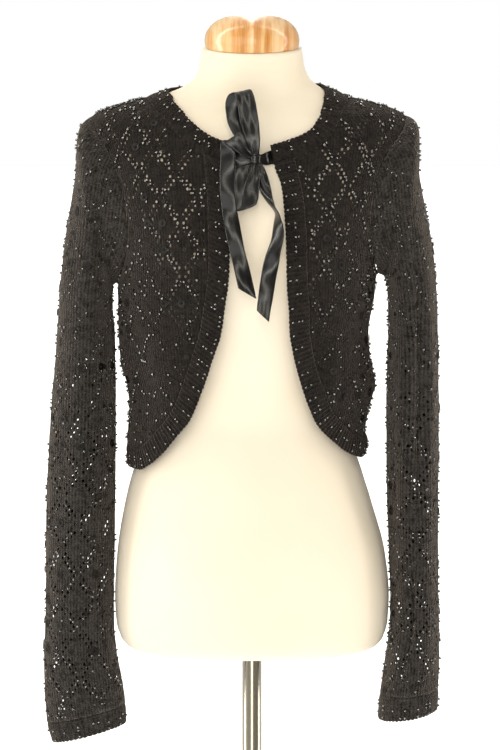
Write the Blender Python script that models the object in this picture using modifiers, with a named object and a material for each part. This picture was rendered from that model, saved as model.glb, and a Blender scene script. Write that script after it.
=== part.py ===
"""A cropped knitted lace cardigan with a satin ribbon bow, worn open on a limbless dress form.

The form stands on a pole and a round plate. Metres, +Z up, and the front faces -Y. The origin is
the centre of the plate's underside. Left and right are the wearer's, so the right side is at -X.
"""

import math

import bmesh
import bpy
import numpy as np
from mathutils import Matrix, Vector

MM = 0.001
DEG = math.pi / 180

# Cloth and seams
CLOTH_THICKNESS = 2.0 * MM
SEAM_GAP = 0.3 * MM
PANEL_GAP = 0.5 * MM
BAND_WIDTH = 22 * MM
RIB_PITCH = 9.5 * MM
RIB_RISE = 1.0 * MM
RIBBON_WIDTH = 16.5 * MM
RIBBON_THICKNESS = 1.0 * MM
RIBBON_CROWN = 0.5 * MM

# Dress form
FORM_COLUMNS = 40
FORM_ROW_STEP = 40 * MM
NECK_BASE = 1438 * MM
NECK_TOP = 1478 * MM
NECK_LEAN = 10 * DEG
BUST_SPREAD = 68 * MM
BUST_WIDTH = 42 * MM
BUST_HEIGHT = 1260 * MM
BUST_RISE = 45 * MM
BUST_DEPTH = 9 * MM

# Stand
POLE_RADIUS = 11 * MM
PLATE_RADIUS = 160 * MM
PLATE_THICKNESS = 8 * MM
PLATE_EDGE = 2 * MM

# Grid sizes of the cardigan's panels
PANEL_COLUMNS = 12
SHOULDER_CELLS = 5
BACK_COLUMNS = 20
BACK_SHOULDER_CELLS = 5
CORNER_SHARE = 0.22
INSET_PASSES = 160
SHAPE_FADE = (3, 1)
SEAM_ROWS = 7
ARMHOLE_ROWS = 11

# Heights of the seams' ends, measured on the form: right side first, then left
ARMPIT_HEIGHT = {"right": 1221 * MM, "left": 1231 * MM}
HEM_HEIGHT = {"right": 1015 * MM, "left": 1026 * MM}
SHOULDER_HEIGHT = 1401 * MM
ARMHOLE_ROOM = 0.8 * MM
ARMHOLE_REACH = {"front": 32 * DEG, "back": 30 * DEG}

# The form's rings in mm: height, middle across, half width, front depth, back depth, and the power
# of the oval, which is 2 for an ellipse and more for a squarer ring
FORM_RINGS = [
    (812.0, 0, 134, 87, 90, 2.2),
    (815.0, 0, 141, 94, 98, 2.2),
    (823.0, 0, 147.5, 99.5, 104, 2.2),
    (841.0, 0, 152.5, 102, 109, 2.2),
    (869.0, 0, 153.8, 103, 112, 2.2),
    (918.0, -1, 150, 104, 110, 2.2),
    (974.0, -4, 138, 101, 99, 2.2),
    (1006.0, -5, 129, 97, 88, 2.2),
    (1040.0, -5, 118, 91, 79, 2.2),
    (1072.0, -5, 111, 87, 74, 2.2),
    (1110.0, -5, 114, 90, 77, 2.2),
    (1166.0, -5, 127, 99, 85, 2.2),
    (1210.0, -4, 137, 107, 91, 2.3),
    (1255.0, -4, 142, 116, 95, 2.3),
    (1300.0, -4, 149, 110, 98, 2.3),
    (1340.0, -4, 158, 96, 97, 2.3),
    (1370.0, -4, 166, 80, 92, 2.3),
    (1388.0, -4, 170, 70, 84, 2.2),
    (1400.0, -4, 168, 62, 77, 2.1),
    (1407.0, -4, 159, 57, 72, 2.0),
    (1412.0, -4, 146, 54, 69, 2.0),
    (1417.0, -4, 131, 52, 67, 2.0),
    (1421.5, -3, 113, 50, 64, 2.0),
    (1427.0, -2, 96, 48.5, 61, 2.0),
    (1434.0, -1, 78, 48, 58, 2.0),
    (1442.0, 0, 66, 48.5, 55, 2.0),
    (1456.0, 0, 58, 50, 52, 2.0),
    (1478.0, 0, 54.5, 52, 52, 2.0),
]

# How far the cloth's inside stands off the form, in mm: height, right side, left side, front, back
CLOTH_EASE = [
    (1005.0, 3, 3.5, 6, 5),
    (1024.0, 10, 7, 9, 10),
    (1038.0, 16, 14, 11, 14),
    (1050.0, 19, 17, 14, 17),
    (1066.0, 21, 21.5, 17, 19),
    (1089.0, 20, 25, 20, 21),
    (1111.0, 20, 28, 20, 20),
    (1133.0, 22, 20, 20, 18),
    (1149.0, 19, 13, 20, 15),
    (1178.0, 13, 5, 18, 9),
    (1213.0, 7, 3, 13, 4.5),
    (1240.0, 3, 2, 6, 2),
    (1270.0, 2.0, 1.8, 2.6, 2.0),
    (1300.0, 1.8, 1.8, 2.0, 1.8),
    (1345.0, 1.9, 1.9, 2.0, 1.9),
    (1375.0, 3.0, 4.2, 3.0, 5.6),
    (1393.0, 4.6, 6.4, 3.4, 7.6),
    (1412.0, 3.2, 3.4, 2.6, 4.4),
    (1428.0, 1.9, 1.9, 1.9, 2.1),
    (1480.0, 1.9, 1.9, 1.9, 1.9),
]

# Soft folds of the body: angle round the form, lowest and highest point, how far out, half width
BODY_FOLDS = [
    (-47, 1060, 1215, 4.0, 9),
    (-60, 1080, 1190, -3.0, 8),
    (-18, 1050, 1200, 3.0, 9),
    (232, 1040, 1220, 3.5, 10),
    (216, 1060, 1190, -3.0, 9),
    (196, 1090, 1225, 3.0, 9),
    (40, 1030, 1215, 3.5, 9),
    (66, 1040, 1180, -3.0, 8),
    (93, 1025, 1200, 3.5, 10),
    (122, 1035, 1190, -2.5, 9),
    (147, 1030, 1220, 3.5, 9),
]

# Front edges from the hem's low point up to the top corner, in mm: across, height
FRONT_EDGE = {
    "right": [
        (-123, 1015.5),
        (-112, 1022),
        (-98.5, 1034),
        (-81, 1055.5),
        (-66.5, 1078),
        (-56.5, 1103),
        (-49.5, 1122.5),
        (-43, 1144),
        (-33.5, 1172),
        (-28.5, 1205),
        (-25, 1229),
        (-24, 1260),
        (-25.5, 1312),
        (-28.2, 1350),
        (-32, 1374),
    ],
    "left": [
        (114, 1029),
        (103, 1035.5),
        (91, 1045.5),
        (77, 1059.5),
        (67.5, 1076),
        (60, 1095.5),
        (52, 1120),
        (43.5, 1154.5),
        (39.5, 1185),
        (37.5, 1218),
        (36.3, 1259),
        (34.8, 1291),
        (31.5, 1325),
        (24.5, 1346),
        (19.3, 1369),
    ],
}

# The neckline from each front's top corner up to the shoulder, in mm: across, height
NECKLINE = {
    "right": [(-32, 1374), (-46.5, 1380), (-61.5, 1391), (-75.5, 1407), (-84.5, 1421)],
    "left": [(19.3, 1369), (46.5, 1377.5), (63.5, 1386), (72.5, 1399.5), (76, 1416)],
}
NECK_AT_SHOULDER = {"right": 1431 * MM, "left": 1436 * MM}
NECK_AT_BACK = 1441 * MM

# Sleeve sections in mm, from the armhole down: outer edge across and height, inner edge across and
# height, half depth, and the middle's place from front to back
SLEEVE_SECTIONS = {
    "right": [
        (184, 1401, 156, 1219, 57, -3),
        (190, 1391, 157, 1213, 58, -3),
        (192, 1374, 157, 1206, 58, -3),
        (192.5, 1350, 156.5, 1196, 58, -3),
        (197, 1320, 155.5, 1182, 57, -3),
        (203.5, 1285, 153.7, 1165, 56, -3),
        (208.5, 1249, 152.7, 1143, 55, -4),
        (213, 1205, 152.2, 1115, 54, -4),
        (217.5, 1143, 152, 1070, 52, -5),
        (223, 1088, 152, 1030, 50, -6),
        (227, 1027, 152.5, 985, 48, -8),
        (230, 970, 153, 940, 45, -9),
        (231, 905, 154, 888, 42, -11),
        (231.5, 850, 154.5, 845, 40, -12),
        (234, 800, 151.5, 805, 35, -13),
        (233, 757, 145, 774, 29, -14),
        (231, 726.5, 142, 748, 25, -14),
    ],
    "left": [
        (177.5, 1403, 147.5, 1230, 57, -3),
        (183, 1394, 149, 1225, 58, -3),
        (183.5, 1375, 151, 1217, 58, -3),
        (182.5, 1350, 152, 1206, 58, -3),
        (187, 1320, 152.5, 1190, 57, -3),
        (194, 1290, 152.5, 1173, 57, -3),
        (200, 1252, 152, 1150, 57, -4),
        (204, 1212, 151, 1120, 57, -4),
        (206, 1160, 150, 1085, 57, -5),
        (207.5, 1095, 150, 1045, 57, -6),
        (208, 1025, 150.5, 990, 56, -8),
        (208, 960, 152, 942, 54, -9),
        (208.5, 900, 154, 890, 52, -11),
        (209.5, 850, 155, 845, 49, -12),
        (210.5, 808, 150, 806, 44, -13),
        (209.5, 766.5, 143.5, 760, 38, -14),
    ],
}
CUFF_BOTTOM = {
    "right": (224.5, 703.5, 141.5, 726, 24, -14),
    "left": (208.5, 742.5, 141.5, 730.5, 36, -14),
}

# Long creases of the sleeves: place round the tube at the top and at the bottom in degrees from its
# inner edge by the front, top height, bottom height, how far in, and half width in degrees
SLEEVE_CREASES = {
    "right": [(60, 40, 1230, 1080, 4, 16), (115, 130, 1150, 860, 3, 18), (250, 265, 1200, 900, 4, 18)],
    "left": [(104, 90, 1310, 900, 9, 15), (88, 62, 930, 765, 8, 15), (255, 270, 1260, 820, 5, 18)],
}

# Middle lines of the ribbon's stretches in mm: across, depth, height, the turn of the ribbon's width
# from level and its lean to the front, both in degrees, and the share of its full width
RIBBON_TIE_RIGHT = [
    (-21, -92, 1364, 84, -22, 0.95),
    (-12, -93.5, 1360, 86, -12, 0.75),
    (1, -95, 1357, 86, 0, 0.55),
]
RIBBON_TIE_LEFT = [
    (17, -94, 1356, 86, -14, 0.8),
    (11, -96, 1355.5, 84, -4, 0.6),
    (4, -97.5, 1355.5, 84, 0, 0.5),
]
RIBBON_PATHS = {
    "ribbon_loop_upper": [
        (4, -103.5, 1357, 0, 0, 0.45),
        (3.2, -105, 1366, 0, 0, 0.6),
        (1.4, -104, 1381.6, 0, 0, 0.95),
        (-0.5, -99, 1403, -4, 0, 1),
        (-3.2, -91.5, 1419.2, -10, 0, 1),
        (-8, -83, 1427.4, -14, 0, 1),
        (-15.1, -76.5, 1424.4, -12, 0, 1),
        (-19.3, -76, 1414, -8, 0, 1),
        (-17.2, -82.5, 1398, 0, 0, 1),
        (-9.7, -91, 1379.6, 6, 0, 0.9),
        (-0.2, -97.5, 1366.5, 4, 0, 0.55),
        (3, -99, 1357, 0, 0, 0.4),
    ],
    "ribbon_loop_lower": [
        (3.5, -103, 1353, 0, 0, 0.4),
        (3.0, -107, 1343.5, 0, 0, 0.55),
        (0.5, -115, 1328.5, 2, 0, 0.95),
        (-1.8, -123.5, 1311, 6, 0, 1),
        (-3.6, -126, 1303.4, 8, 0, 1),
        (-6.6, -123, 1303.2, 8, 0, 1),
        (-8.4, -117.5, 1313.7, 4, 0, 1),
        (-6.4, -108.5, 1329.5, 0, 0, 0.9),
        (0.6, -100, 1344.5, 0, 0, 0.55),
        (3, -98.5, 1352, 0, 0, 0.4),
    ],
    "ribbon_tail_right": [
        (2, -101.5, 1359, 84, 0, 0.45),
        (-6, -102.5, 1363, 80, 0, 0.6),
        (-14.5, -104, 1366.5, 66, 0, 0.8),
        (-21.5, -105, 1364.5, 42, 0, 0.95),
        (-25.2, -107, 1355, 18, 0, 1),
        (-26.2, -111.5, 1341, 8, 0, 1),
        (-26, -118, 1325, 3, 0, 1),
        (-24.5, -124.5, 1308, -6, 0, 1),
        (-21, -129.5, 1288, -10, 0, 1),
        (-17, -132.5, 1266, -8, 0, 1),
        (-11, -132.5, 1242, -4, 0, 1),
        (-5, -130, 1215, 2, 0, 1),
    ],
    "ribbon_tail_left": [
        (6.4, -101, 1354, -46, 0, 0.4),
        (12.5, -103.4, 1348, -42, 0, 0.5),
        (16.5, -107.5, 1340, -34, 0, 0.75),
        (19.3, -113.5, 1329, -24, 0, 0.9),
        (21.2, -119.5, 1316, -14, 0, 1),
        (23.2, -125.5, 1300.2, -4, 0, 1),
        (23.9, -129.5, 1283.4, 4, 0, 1),
        (21.3, -132, 1265.6, 10, 0, 1),
        (17.9, -132.5, 1247.8, 8, 0, 1),
        (14.7, -131.5, 1228.8, 4, 0, 1),
        (12.6, -130.5, 1209.8, 2, 0, 1),
        (10.3, -129.5, 1193, 2, 0, 1),
    ],
}
RIBBON_STEPS = {
    "ribbon_loop_upper": 26,
    "ribbon_loop_lower": 24,
    "ribbon_tail_right": 22,
    "ribbon_tail_left": 22,
    "ribbon_tie_right": 10,
    "ribbon_tie_left": 6,
}
# Where each tie starts on its front's band: across, height
TIE_STARTS = {"right": [(-42, 1362), (-35, 1363)], "left": [(31, 1356), (25, 1356.5)]}
# How far each tail's cut end slants down across the ribbon's half width
TAIL_SLANT = {"ribbon_tail_right": 4 * MM, "ribbon_tail_left": 7 * MM}
KNOT_PLACE = (3.5 * MM, -99.5 * MM, 1355 * MM)
KNOT_SIZE = (15 * MM, 13 * MM, 18 * MM)
KNOT_ROOM = 0.4 * MM
KNOT_FULLNESS = 1.12

# The neck cap's profile in mm from its top down its outside and in again: radius, height
CAP_PROFILE = [
    (0, 38),
    (16, 37.4),
    (30, 34.6),
    (41, 29.4),
    (48, 22.8),
    (51.4, 15.5),
    (52, 8),
    (51, 1),
    (50, 0),
    (0, 0),
]
CAP_STEPS = 32

COLLECTION = "lace_cardigan_on_dress_form"


def clear_scene():
    """Remove what the startup file holds."""
    for item in list(bpy.data.objects):
        bpy.data.objects.remove(item, do_unlink=True)


def new_collection(name, hidden=False):
    """A collection of the scene, hidden in renders where it holds cutters."""
    made = bpy.data.collections.new(name)
    made.hide_render = hidden
    bpy.context.scene.collection.children.link(made)
    return made


def material(name, colour, roughness, metallic=0.0):
    """A plain finish."""
    made = bpy.data.materials.new(name)
    made.use_nodes = True
    shader = made.node_tree.nodes["Principled BSDF"]
    shader.inputs["Base Color"].default_value = (*colour, 1)
    shader.inputs["Roughness"].default_value = roughness
    shader.inputs["Metallic"].default_value = metallic
    made.diffuse_color = (*colour, 1)
    return made


def add_object(name, mesh, collection, finish):
    """An object of this mesh, with its faces pointing out and its finish set."""
    shape = bmesh.new()
    shape.from_mesh(mesh)
    bmesh.ops.recalc_face_normals(shape, faces=shape.faces)
    shape.to_mesh(mesh)
    shape.free()
    mesh.materials.append(finish)
    mesh.shade_smooth()
    mesh.set_sharp_from_angle(angle=40 * DEG)
    made = bpy.data.objects.new(name, mesh)
    collection.objects.link(made)
    return made


def through_rows(knots, rows, places):
    """Values at these places of smooth curves through the rows, with slopes that never overshoot."""
    places = np.clip(places, knots[0], knots[-1])
    index = np.clip(np.searchsorted(knots, places, side="right") - 1, 0, len(knots) - 2)
    steps = np.diff(knots)
    secants = np.diff(rows, axis=0) / steps[:, None]
    same_way = secants[1:] * secants[:-1]
    total = secants[1:] + secants[:-1]
    slopes = np.empty_like(rows)
    slopes[0], slopes[-1] = secants[0], secants[-1]
    slopes[1:-1] = np.where(same_way > 0, 2 * same_way / np.where(total == 0, 1, total), 0)
    step = steps[index][..., None]
    t = (places - knots[index])[..., None] / step
    return (
        rows[index] * (1 + 2 * t) * (1 - t) ** 2
        + rows[index + 1] * t**2 * (3 - 2 * t)
        + slopes[index] * step * t * (1 - t) ** 2
        + slopes[index + 1] * step * t**2 * (t - 1)
    )


def columns_at(table, heights):
    """The table's other columns at these heights, in the table's own units."""
    rows = np.array(table, float)
    values = through_rows(rows[:, 0], rows[:, 1:], np.asarray(heights) / MM)
    return np.moveaxis(values, -1, 0)


def form_surface(angle, height):
    """The dress form: an oval ring at each height, two soft bust rounds, and a neck that leans."""
    angle, height = np.broadcast_arrays(np.asarray(angle, float), np.asarray(height, float))
    middle, half, front, back, power = columns_at(FORM_RINGS, height)
    across, along = np.cos(angle), np.sin(angle)
    x = half * np.sign(across) * np.abs(across) ** (2 / power) * MM
    y = np.where(along < 0, front, back) * np.sign(along) * np.abs(along) ** (2 / power) * MM
    sideways = (np.abs(x) - BUST_SPREAD) / BUST_WIDTH
    upward = (height - BUST_HEIGHT) / BUST_RISE
    y = y - BUST_DEPTH * np.exp(-(sideways**2) - upward**2) * np.clip(-along, 0, 1)
    rise = height - NECK_BASE
    lean = NECK_LEAN * np.clip(rise / (0.8 * (NECK_TOP - NECK_BASE)), 0, 1)
    leaned_y = y * np.cos(lean) - rise * np.sin(lean)
    leaned_z = NECK_BASE + y * np.sin(lean) + rise * np.cos(lean)
    return np.stack([x + middle * MM, leaned_y, leaned_z], axis=-1)


def slopes_of(surface, angle, height):
    """The surface's changes with the angle, per radian, and with the height, per metre."""
    turn, rise = 2e-3, 0.4 * MM
    by_angle = (surface(angle + turn, height) - surface(angle - turn, height)) / (2 * turn)
    by_height = (surface(angle, height + rise) - surface(angle, height - rise)) / (2 * rise)
    return by_angle, by_height


def outward(surface, angle, height):
    """Unit vectors that point straight out of the surface."""
    by_angle, by_height = slopes_of(surface, angle, height)
    normal = np.cross(by_angle, by_height)
    return normal / np.linalg.norm(normal, axis=-1, keepdims=True)


def hill(place, low, high):
    """Nought outside low to high, and a smooth rise to one between."""
    t = np.clip((place - low) / (high - low), 0, 1)
    return np.sin(math.pi * t) ** 2


def cloth_surface(angle, height):
    """The cloth's inside: the form moved out by the ease, and by the soft folds."""
    angle, height = np.broadcast_arrays(np.asarray(angle, float), np.asarray(height, float))
    right, left, front, back = columns_at(CLOTH_EASE, height)
    across, along = np.cos(angle), np.sin(angle)
    ease = np.where(across > 0, left, right) * across**2 + np.where(along < 0, front, back) * along**2
    for place, low, high, out, width in BODY_FOLDS:
        ease = ease + out * np.exp(-(((angle / DEG - place) / width) ** 2)) * hill(height / MM, low, high)
    return form_surface(angle, height) + outward(form_surface, angle, height) * ease[..., None] * MM


def seam_angle(height, part):
    """The angle that stands half a seam's gap from the form's side, towards the front or the back."""
    _, _, front, back, power = columns_at(FORM_RINGS, height)
    depth = (front if part == "front" else back) * MM
    return (SEAM_GAP / 2 / depth) ** (power / 2)


def side_angle(side, part, turn):
    """An angle that lies `turn` from the side of the form towards its front or its back."""
    towards = -1 if part == "front" else 1
    return towards * turn if side == "left" else math.pi - towards * turn


def angle_at(across, height, side):
    """The angle on the cloth's front at which it reaches this far across, at this height."""
    turns = np.linspace(0, math.pi / 2, 181)
    angles = side_angle(side, "front", turns)
    reach = cloth_surface(angles, height)[:, 0]
    order = np.argsort(reach)
    return float(np.interp(across, reach[order], angles[order]))


def chart_of(table, side):
    """Rows of across and height in mm as rows of angle and height on the cloth."""
    return [(angle_at(across * MM, height * MM, side), height * MM) for across, height in table]


def smooth_curve(points, count, on_cloth=True):
    """Points evenly spaced along a smooth curve through these; on the cloth they hold angle and height."""
    points = np.array(points, float)

    def lengths(curve):
        placed = cloth_surface(curve[:, 0], curve[:, 1]) if on_cloth else curve
        return np.concatenate([[0], np.cumsum(np.linalg.norm(np.diff(placed, axis=0), axis=1))])

    knots = lengths(points)
    dense = through_rows(knots, points, np.linspace(0, knots[-1], 40 * len(points)))
    run = lengths(dense)
    even = np.linspace(0, run[-1], count)
    return np.stack([np.interp(even, run, column) for column in dense.T], axis=1)


def softened(curve, passes):
    """The curve with its small bends eased, its two ends kept in place."""
    curve = curve.copy()
    for _ in range(passes):
        curve[1:-1] = (curve[:-2] + 2 * curve[1:-1] + curve[2:]) / 4
    return curve


def inset(curve, width, turn):
    """The curve moved over the cloth by this width, to the side that `turn` says, in small steps."""
    steps = 6
    curve = curve.copy()
    for _ in range(steps):
        by_angle, by_height = slopes_of(cloth_surface, curve[:, 0], curve[:, 1])
        run = np.gradient(curve, axis=0)
        tangent = by_angle * run[:, :1] + by_height * run[:, 1:]
        aim = turn * np.cross(tangent, np.cross(by_angle, by_height))
        aim /= np.linalg.norm(aim, axis=1, keepdims=True)
        aa = (by_angle * by_angle).sum(1)
        ah = (by_angle * by_height).sum(1)
        hh = (by_height * by_height).sum(1)
        to_a, to_h = (by_angle * aim).sum(1), (by_height * aim).sum(1)
        spread = aa * hh - ah**2
        move = np.stack([(to_a * hh - to_h * ah) / spread, (to_h * aa - to_a * ah) / spread], axis=1)
        curve += move * width / steps
    return softened(curve, INSET_PASSES)


def crossing(first, second):
    """Where the first curve crosses the second, as a place along the first's points."""
    start, end = first[:-1, None], first[1:, None]
    other, other_end = second[None, :-1], second[None, 1:]
    run, across = end - start, other_end - other
    spread = run[..., 0] * across[..., 1] - run[..., 1] * across[..., 0]
    spread = np.where(np.abs(spread) < 1e-15, np.nan, spread)
    apart = other - start
    t = (apart[..., 0] * across[..., 1] - apart[..., 1] * across[..., 0]) / spread
    u = (apart[..., 0] * run[..., 1] - apart[..., 1] * run[..., 0]) / spread
    found = np.argwhere((t >= 0) & (t < 1) & (u >= 0) & (u <= 1))
    row, column = found[0]
    return row + t[row, column]


def wall_object(name, inner, outer, collection, finish, wrap=False):
    """A closed wall between two grids of points. With wrap, the columns run all round a tube."""
    rows, columns = inner.shape[:2]
    points = np.concatenate([inner.reshape(-1, 3), outer.reshape(-1, 3)])
    index = np.arange(rows * columns).reshape(rows, columns)
    far = index + rows * columns
    right = np.roll(index, -1, axis=1) if wrap else index[:, 1:]
    here = index if wrap else index[:, :-1]
    other = rows * columns
    faces = []
    for low, next_low, high, next_high in zip(here[:-1].flat, right[:-1].flat, here[1:].flat, right[1:].flat):
        faces.append((low, next_low, next_high, high))
        faces.append((low + other, high + other, next_high + other, next_low + other))
    for edge, next_edge in ((here[0], right[0]), (right[-1], here[-1])):
        faces += [(b, a, a + other, b + other) for a, b in zip(edge, next_edge)]
    if not wrap:
        for side, next_side in ((index[1:, 0], index[:-1, 0]), (index[:-1, -1], index[1:, -1])):
            faces += [(b, a, a + other, b + other) for a, b in zip(side, next_side)]
    mesh = bpy.data.meshes.new(name)
    mesh.from_pydata(points.tolist(), [], [tuple(int(i) for i in face) for face in faces])
    return add_object(name, mesh, collection, finish)


def cloth_wall(name, chart, rises, collection, finish):
    """A wall on the cloth from a grid of angles and heights, its outer points raised by the rises."""
    inner = cloth_surface(chart[..., 0], chart[..., 1])
    out = outward(cloth_surface, chart[..., 0], chart[..., 1])
    outer = inner + out * (CLOTH_THICKNESS + rises)[..., None]
    return wall_object(name, inner, outer, collection, finish)


def side_run():
    """Heights, and the length of the form's side profile up to each, which crowds at no slope."""
    heights = np.linspace(HEM_HEIGHT["right"] - 20 * MM, NECK_TOP, 800)
    half = columns_at(FORM_RINGS, heights)[1] * MM
    steps = np.hypot(np.diff(heights), np.diff(half))
    return heights, np.concatenate([[0], np.cumsum(steps)])


def shares_along(curve):
    """The share of the curve's length on the cloth that lies before each of its points."""
    placed = cloth_surface(curve[:, 0], curve[:, 1])
    run = np.concatenate([[0], np.cumsum(np.linalg.norm(np.diff(placed, axis=0), axis=1))])
    return run / run[-1]


def patch_between(bottom, top, start, end):
    """A grid that meets four edge curves: bottom and top run across, start and end run up.

    The rows run straight from start to end, and the bottom's and the top's own shapes fade into
    them, in angle sooner than in height.
    """
    heights, runs = side_run()
    edges = []
    for curve in (bottom, top, start, end):
        edges.append(np.stack([curve[:, 0], np.interp(curve[:, 1], heights, runs)], axis=1))
    low, high, first, last = edges
    across = ((shares_along(bottom) + shares_along(top)) / 2)[:, None]
    up = ((shares_along(start) + shares_along(end)) / 2)[:, None, None]
    low_shape = low - low[0] * (1 - across) - low[-1] * across
    high_shape = high - high[0] * (1 - across) - high[-1] * across
    grid = first[:, None] * (1 - across) + last[:, None] * across
    grid = grid + high_shape * up**SHAPE_FADE + low_shape * (1 - up) ** SHAPE_FADE
    grid[..., 1] = np.interp(grid[..., 1], runs, heights)
    grid[0], grid[-1], grid[:, 0], grid[:, -1] = bottom, top, start, end
    return grid


def at_places(curve, places):
    """The curve's values at these places along its points."""
    return np.stack([np.interp(places, np.arange(len(curve)), column) for column in curve.T], axis=1)


def ribbed_strip(name, edge, edge_span, sewn, sewn_span, seam_places, collection, finish):
    """A ribbed band between its free edge and its seam, both curves of angle and height.

    Its seam side runs straight between the panel's own points, so that the two walls meet evenly.
    """
    placed = cloth_surface(*at_places(edge, np.linspace(*edge_span, 300)).T)
    length = np.linalg.norm(np.diff(placed, axis=0), axis=1).sum()
    count = 2 * round(length / RIB_PITCH) + 1
    free = at_places(edge, np.linspace(*edge_span, count))
    places = np.linspace(*sewn_span, count)
    inside = at_places(sewn, places)
    chart = np.stack([free, (free + inside) / 2, inside])
    inner = cloth_surface(chart[..., 0], chart[..., 1])
    out = outward(cloth_surface, chart[..., 0], chart[..., 1])
    knots = at_places(sewn, seam_places).T
    for grid, values in ((inner, cloth_surface(*knots)), (out, outward(cloth_surface, *knots))):
        grid[-1] = np.stack([np.interp(places, seam_places, column) for column in values.T], axis=1)
    rises = RIB_RISE * (np.arange(count) % 2)
    return wall_object(name, inner, inner + out * (CLOTH_THICKNESS + rises)[None, :, None], collection, finish)


def seam_line(side, part):
    """Angle and height up the side seam and round the armhole to the shoulder, for one panel."""
    low, high = HEM_HEIGHT[side] + BAND_WIDTH + SEAM_GAP, ARMPIT_HEIGHT[side]
    seam = np.linspace(low, high, SEAM_ROWS + 1)
    run = np.linspace(0, 1, ARMHOLE_ROWS + 1)[1:]
    heights = np.concatenate([seam, high + (SHOULDER_HEIGHT - high) * (1 - np.cos(math.pi * run)) / 2])
    reach = np.concatenate([np.zeros(SEAM_ROWS + 1), ARMHOLE_REACH[part] * np.sin(math.pi * run)])
    return np.stack([side_angle(side, part, seam_angle(heights, part) + reach), heights], axis=1)


def ridge_line(side, part, low, high, count):
    """Angle and height along the shoulder seam, for one panel."""
    heights = np.linspace(low, high, count)
    return np.stack([side_angle(side, part, seam_angle(heights, part)), heights], axis=1)


def neck_curve():
    """The free edge round the neck from the left front's corner to the right's, and past both."""
    left = chart_of(NECKLINE["left"], "left")
    right = chart_of(NECKLINE["right"], "right")
    behind = [
        (0.0, NECK_AT_SHOULDER["left"]),
        (45 * DEG, (NECK_AT_BACK + NECK_AT_SHOULDER["left"]) / 2),
        (90 * DEG, NECK_AT_BACK),
        (135 * DEG, (NECK_AT_BACK + NECK_AT_SHOULDER["right"]) / 2),
        (180 * DEG, NECK_AT_SHOULDER["right"]),
    ]
    return softened(smooth_curve(left + behind + right[::-1], 400), INSET_PASSES // 4)


def past_ends(curve, reach):
    """The curve with both ends carried straight on by this many of its own steps."""
    steps = np.arange(reach, 0, -1)[:, None]
    before = curve[0] - (curve[3] - curve[0]) / 3 * steps
    after = curve[-1] + (curve[-1] - curve[-4]) / 3 * steps[::-1]
    return np.concatenate([before, curve, after])


def front_curve(side):
    """The free edge of a front from the side seam along the hem, round its corner and up."""
    start = (side_angle(side, "front", 0), HEM_HEIGHT[side])
    low = (side_angle(side, "front", 14 * DEG), HEM_HEIGHT[side])
    return smooth_curve([start, low] + chart_of(FRONT_EDGE[side], side), 300)


def neck_seam(neck, gap):
    """The neck band's seam line, carried past both fronts' edges."""
    return inset(past_ends(neck, 20), BAND_WIDTH + gap, 1)


def front_seam(side, gap):
    """The front band's seam line, from the side seam at the hem up past the neck band."""
    return inset(front_curve(side), BAND_WIDTH + gap, 1 if side == "left" else -1)


def neck_places(neck, side):
    """Places along the neck's seam of one front's corner, of its shoulder seam and of the back's."""
    panel_neck = neck_seam(neck, PANEL_GAP)
    found = [crossing(panel_neck, front_seam(side, PANEL_GAP))]
    for part in ("front", "back"):
        low = SHOULDER_HEIGHT - 5 * MM
        found.append(crossing(panel_neck, ridge_line(side, part, low, NECK_AT_SHOULDER[side], 60)))
    return found


def front_pieces(side, neck, pieces, finish):
    """One front of the cardigan: its lace panel and the ribbed band round it."""
    edge, sewn, panel_edge = front_curve(side), front_seam(side, 0), front_seam(side, PANEL_GAP)
    for curve in (edge, sewn, panel_edge):
        curve[0, 0] = side_angle(side, "front", seam_angle(curve[0, 1], "front"))
    panel_neck = neck_seam(neck, PANEL_GAP)
    neck_corner, on_ridge, _ = neck_places(neck, side)
    corner = crossing(panel_edge, panel_neck)
    start = seam_line(side, "front")
    bottom_places = np.linspace(0, CORNER_SHARE * corner, PANEL_COLUMNS + 1)
    end_places = corner * (CORNER_SHARE + (1 - CORNER_SHARE) * shares_along(start))
    bottom = at_places(panel_edge, bottom_places)
    end = at_places(panel_edge, end_places)
    start[0] = bottom[0]
    ridge_height = at_places(panel_neck, [on_ridge])[0, 1]
    shoulder = ridge_line(side, "front", SHOULDER_HEIGHT, ridge_height, SHOULDER_CELLS + 1)
    slope = at_places(panel_neck, np.linspace(on_ridge, neck_corner, PANEL_COLUMNS - SHOULDER_CELLS + 1))
    top = np.concatenate([shoulder, slope[1:]])
    top[0], top[-1] = start[-1], end[-1]
    chart = patch_between(bottom, top, start, end)
    cloth_wall(f"front_{side}", chart, np.zeros(chart.shape[:2]), pieces, finish)

    free_end, sewn_end = crossing(edge, panel_neck), crossing(sewn, panel_neck)
    seam_places = np.concatenate([bottom_places, end_places[1:]])
    seam_places[-1] = max(corner, sewn_end)
    name = f"band_front_{side}"
    ribbed_strip(name, edge, (0, free_end), sewn, (0, sewn_end), seam_places, pieces, finish)


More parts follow.
